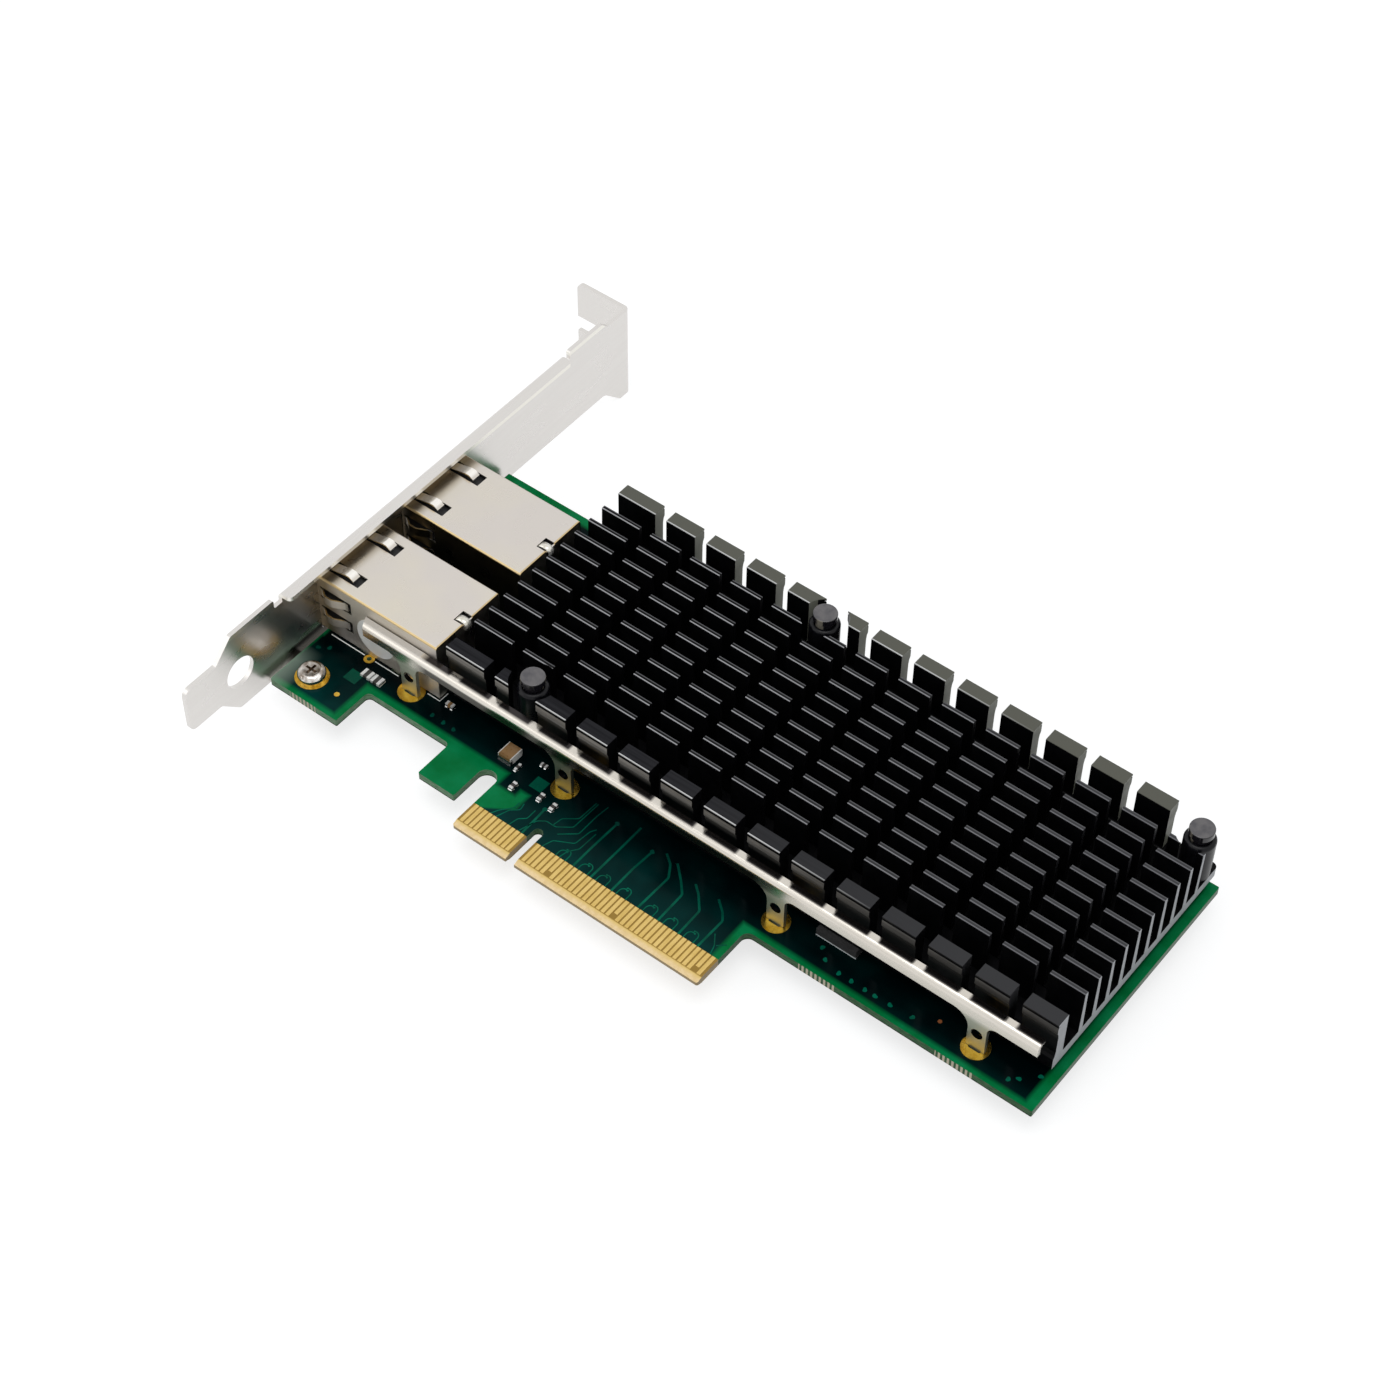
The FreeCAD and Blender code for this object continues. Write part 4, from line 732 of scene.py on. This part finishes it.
# The flange is painted dark between the spots: a painted reflection of the heat sink's fins
# above it.
fin_reflection = rail.both(rail.ramp(from_spot, 0.8 * mm, 1.3 * mm),
                  rail.ramp(rail.y, flange_line, flange_line + 0.5 * mm), on_flange,
                  rail.ramp(rail.x, -35.0 * mm, -33.5 * mm))
tone = rail.blend(fin_reflection, tone, (0.045, 0.040, 0.040))
# Over the tongue the wall is painted dark: a painted reflection of the board.
wall_reflection = rail.both(rail.ramp(rail.z, 9.1 * mm, 9.5 * mm, 1.0, 0.0),
                 rail.ramp(rail.depth(-36.0 * mm, 40.5 * mm, 0.0, 1.0), 0.0, 3.0 * mm))
tone = rail.blend(wall_reflection, tone, (0.085, 0.078, 0.070))
foot = rail.ramp(rail.z, 6.6 * mm, 7.8 * mm, 1.0, 0.0)
# The feet are painted greenish grey: a painted reflection of the board.
tone = rail.blend(rail.both(foot, 0.7), tone, (0.30, 0.33, 0.26))
# The faces of the holes in the feet are painted black: a painted shade.
foot_hole_shade = rail.both(rail.under(rail.calc("ABSOLUTE", rail.ny), 0.5),
                      rail.under(rail.calc("ABSOLUTE", rail.nx), 0.97),
                      rail.under(rail.z, 6.4 * mm))
# At the near end the flange is painted pale and less metallic: a painted reflection of the
# jacks' side.
jack_side_reflection = rail.both(rail.ramp(rail.x, -35.2 * mm, -34.8 * mm, 1.0, 0.0),
                rail.ramp(rail.y, flange_line + 0.2 * mm, flange_line + 0.5 * mm), on_flange)
tone = rail.blend(jack_side_reflection, tone, (0.52, 0.49, 0.45))
rail.feed(rail.base.inputs["Metallic"], rail.outside(rail.both(jack_side_reflection, 0.85)))
rail.colour(rail.blend(foot_hole_shade, tone, (0.01, 0.01, 0.01)))
dull = rail.calc("ADD", rail.ramp(hairline, 0.3, 0.7, 0.13, 0.19), rail.both(foot, 0.20))
rail.feed(rail.base.inputs["Roughness"], rail.calc(
    "ADD", dull, rail.ramp(rail.y, flange_line, flange_line + 0.5 * mm, 0.10, 0.0)))
rail.dress("stiffener_rail")

# Heat sink: drawn aluminium, cross cut and black anodised, on a grey pad. Painted light
# lies in the black: highlights along the fins' top edges, lighter tones on the fin tops,
# the sawn far end and the cross-cut ends near it, and a painted reflection of the rail on
# the lip of the front outer fin.
sink = points_of("heatsink")
sink_low, sink_high = sink.min(0), sink.max(0)
sink_front, sink_back, sink_top = sink_low[1], sink_high[1], sink_high[2]
first_fin = 28.2 * mm
fin_pitch = 3.85 * mm
fin_half = 0.375 * mm
outer_fin = 4.0 * mm
back_fin_front = sink_back - 2.7 * mm
black = Paint("black_anodised", 0.34, 0.0, 0.07)
drawn_lines = black.ramp(black.noise(2600, 2.0, (0.02, 1, 1)), 0.35, 0.65)
tone = black.mottle((0.0012, 0.0012, 0.0015), (0.0030, 0.0030, 0.0036), 350)
across = black.from_row(black.y, first_fin, fin_pitch)
crown = black.ramp(black.z, sink_top - 0.16 * mm, sink_top - 0.08 * mm)
# Thin lines along the front and back top edges of the fins are painted light, brighter towards
# the bracket end, and the thin fins' tops are painted greyer further along: painted highlights.
front_edge = black.ramp(across, -fin_half + 0.19 * mm, -fin_half + 0.13 * mm)
back_edge = black.ramp(across, fin_half - 0.22 * mm, fin_half - 0.14 * mm)
thin_fins = black.over(black.depth(-1, 1, sink_front + outer_fin, sink_back - outer_fin), 0)
rim = black.both(crown, thin_fins)
far_share = black.ramp(black.x, 10.0 * mm, 75.0 * mm)
# The tops of the outer fins carry drawn streaks and are painted lighter further along: painted
# light.
streaked_lit_top = black.blend(drawn_lines, (0.008, 0.008, 0.010), (0.018, 0.018, 0.021))
streaked_lit_top = black.blend(far_share, streaked_lit_top, (0.042, 0.042, 0.044))
edge_highlight = black.blend(far_share, (0.42, 0.42, 0.43), (0.17, 0.17, 0.18))
tone = black.blend(black.both(crown, black.outside(thin_fins)), tone, streaked_lit_top)
tone = black.blend(black.both(rim, far_share), tone, (0.050, 0.050, 0.053))
tone = black.blend(black.both(rim, back_edge), tone, (0.11, 0.11, 0.115))
tone = black.blend(black.both(rim, front_edge), tone, edge_highlight)
# The back fin's top and the cross-cut ends of the back row are painted lighter: painted light.
back_row = black.ramp(black.y, sink_back - 3.6 * mm, sink_back - 3.4 * mm)
tone = black.blend(black.both(crown, back_row), tone, (0.115, 0.115, 0.095))
cut_end = black.over(black.nx, 0.8)
tone = black.blend(black.both(cut_end, back_row), tone, (0.22, 0.225, 0.18))
# The upper parts of the other cross-cut ends near the far end are painted grey, fading
# downwards: painted light and shade.
lit_cut_ends = black.both(black.ramp(black.z, sink_top - 5.0 * mm, sink_top, 0.0, 0.8),
                  black.outside(back_row), black.ramp(black.x, 70.0 * mm, 88.0 * mm))
tone = black.blend(black.both(cut_end, lit_cut_ends), tone, (0.075, 0.075, 0.08))
# A bright line along the top edge of each outer fin, towards the bracket end: a painted
# highlight.
for line in (sink_front, back_fin_front):
    outer_edge_glint = black.both(black.under(black.off(black.y, line + 0.08 * mm), 0.13 * mm),
                       black.ramp(black.x, 35.0 * mm, 60.0 * mm, 1.0, 0.0))
    tone = black.blend(black.both(crown, outer_edge_glint), tone, (0.58, 0.58, 0.57))
# The lip of the front outer fin is painted beige with drawn streaks, lighter towards its top
# and towards the bracket end: a painted reflection of the rail.
lip_reflection = black.both(black.under(black.ny, -0.8), black.under(black.y, sink_front + 0.7 * mm),
                 black.ramp(black.z, 13.16 * mm, 13.10 * mm),
                 black.ramp(black.x, 0.0, 70.0 * mm, 1.0, 0.30),
                 black.ramp(black.z, 9.6 * mm, 13.1 * mm, 0.0, 0.9))
lip_reflection_tone = black.blend(drawn_lines, (0.22, 0.205, 0.18), (0.38, 0.36, 0.33))
tone = black.blend(lip_reflection, tone, lip_reflection_tone)
# The sawn far end face is painted light grey with saw marks: painted light.
saw_marks = black.noise(900, 3.0, (1, 1, 0.2))
lit_sawn_end = black.blend(saw_marks, (0.38, 0.39, 0.41), (0.52, 0.53, 0.55))
tone = black.blend(black.over(black.x, sink_high[0] - 0.03 * mm), tone, lit_sawn_end)
black.colour(tone)
black.vary_rough(black.noise(500, 2.0), 0.28, 0.42)
black.relief(black.noise(1600, 2.0, (0.1, 1, 1)), 0.000008)
black.dress("heatsink")
plain("thermal_pad", (0.26, 0.28, 0.31), (0.34, 0.36, 0.39), 0.8, 0.0, 0.3,
      500).dress("thermal_pad")

# Push pins: moulded dark nylon, with painted highlights streaking down their sides and
# heads painted lighter on top, each in a black sleeve with a steel spring. Their barbed
# tips clip behind the board.
head_level = 14.0 * mm
nylon = Paint("dark_nylon", 0.2, 0.0, 0.5)
# The heads are painted lighter on top.
head_top_tone = nylon.mottle((0.070, 0.067, 0.074), (0.125, 0.118, 0.120), 700, span=(0.35, 0.65))
# Bright streaks down the sides: painted highlights.
streak_highlights = nylon.mottle((0.010, 0.009, 0.012), (0.22, 0.20, 0.16), 520, 1.0, (1, 1, 0.04),
                      (0.56, 0.68))
head = nylon.both(nylon.over(nylon.nz, 0.8),
                  nylon.ramp(nylon.z, head_level, head_level + 0.5 * mm))
nylon.colour(nylon.blend(head, streak_highlights, head_top_tone))
nylon.vary_rough(nylon.noise(900, 2.0), 0.14, 0.24)
nylon.relief(nylon.noise(1200, 2.0), 0.00001)
nylon.dress("push_pins")
plain("sleeve_nylon", (0.0025, 0.0025, 0.004), (0.007, 0.007, 0.009), 0.30, 0.0, 0.2,
      500).dress("pin_sleeves")
plain("spring_steel", (0.30, 0.30, 0.30), (0.5, 0.5, 0.49), 0.3, 1.0, 0.5,
      1200).dress("pin_springs")
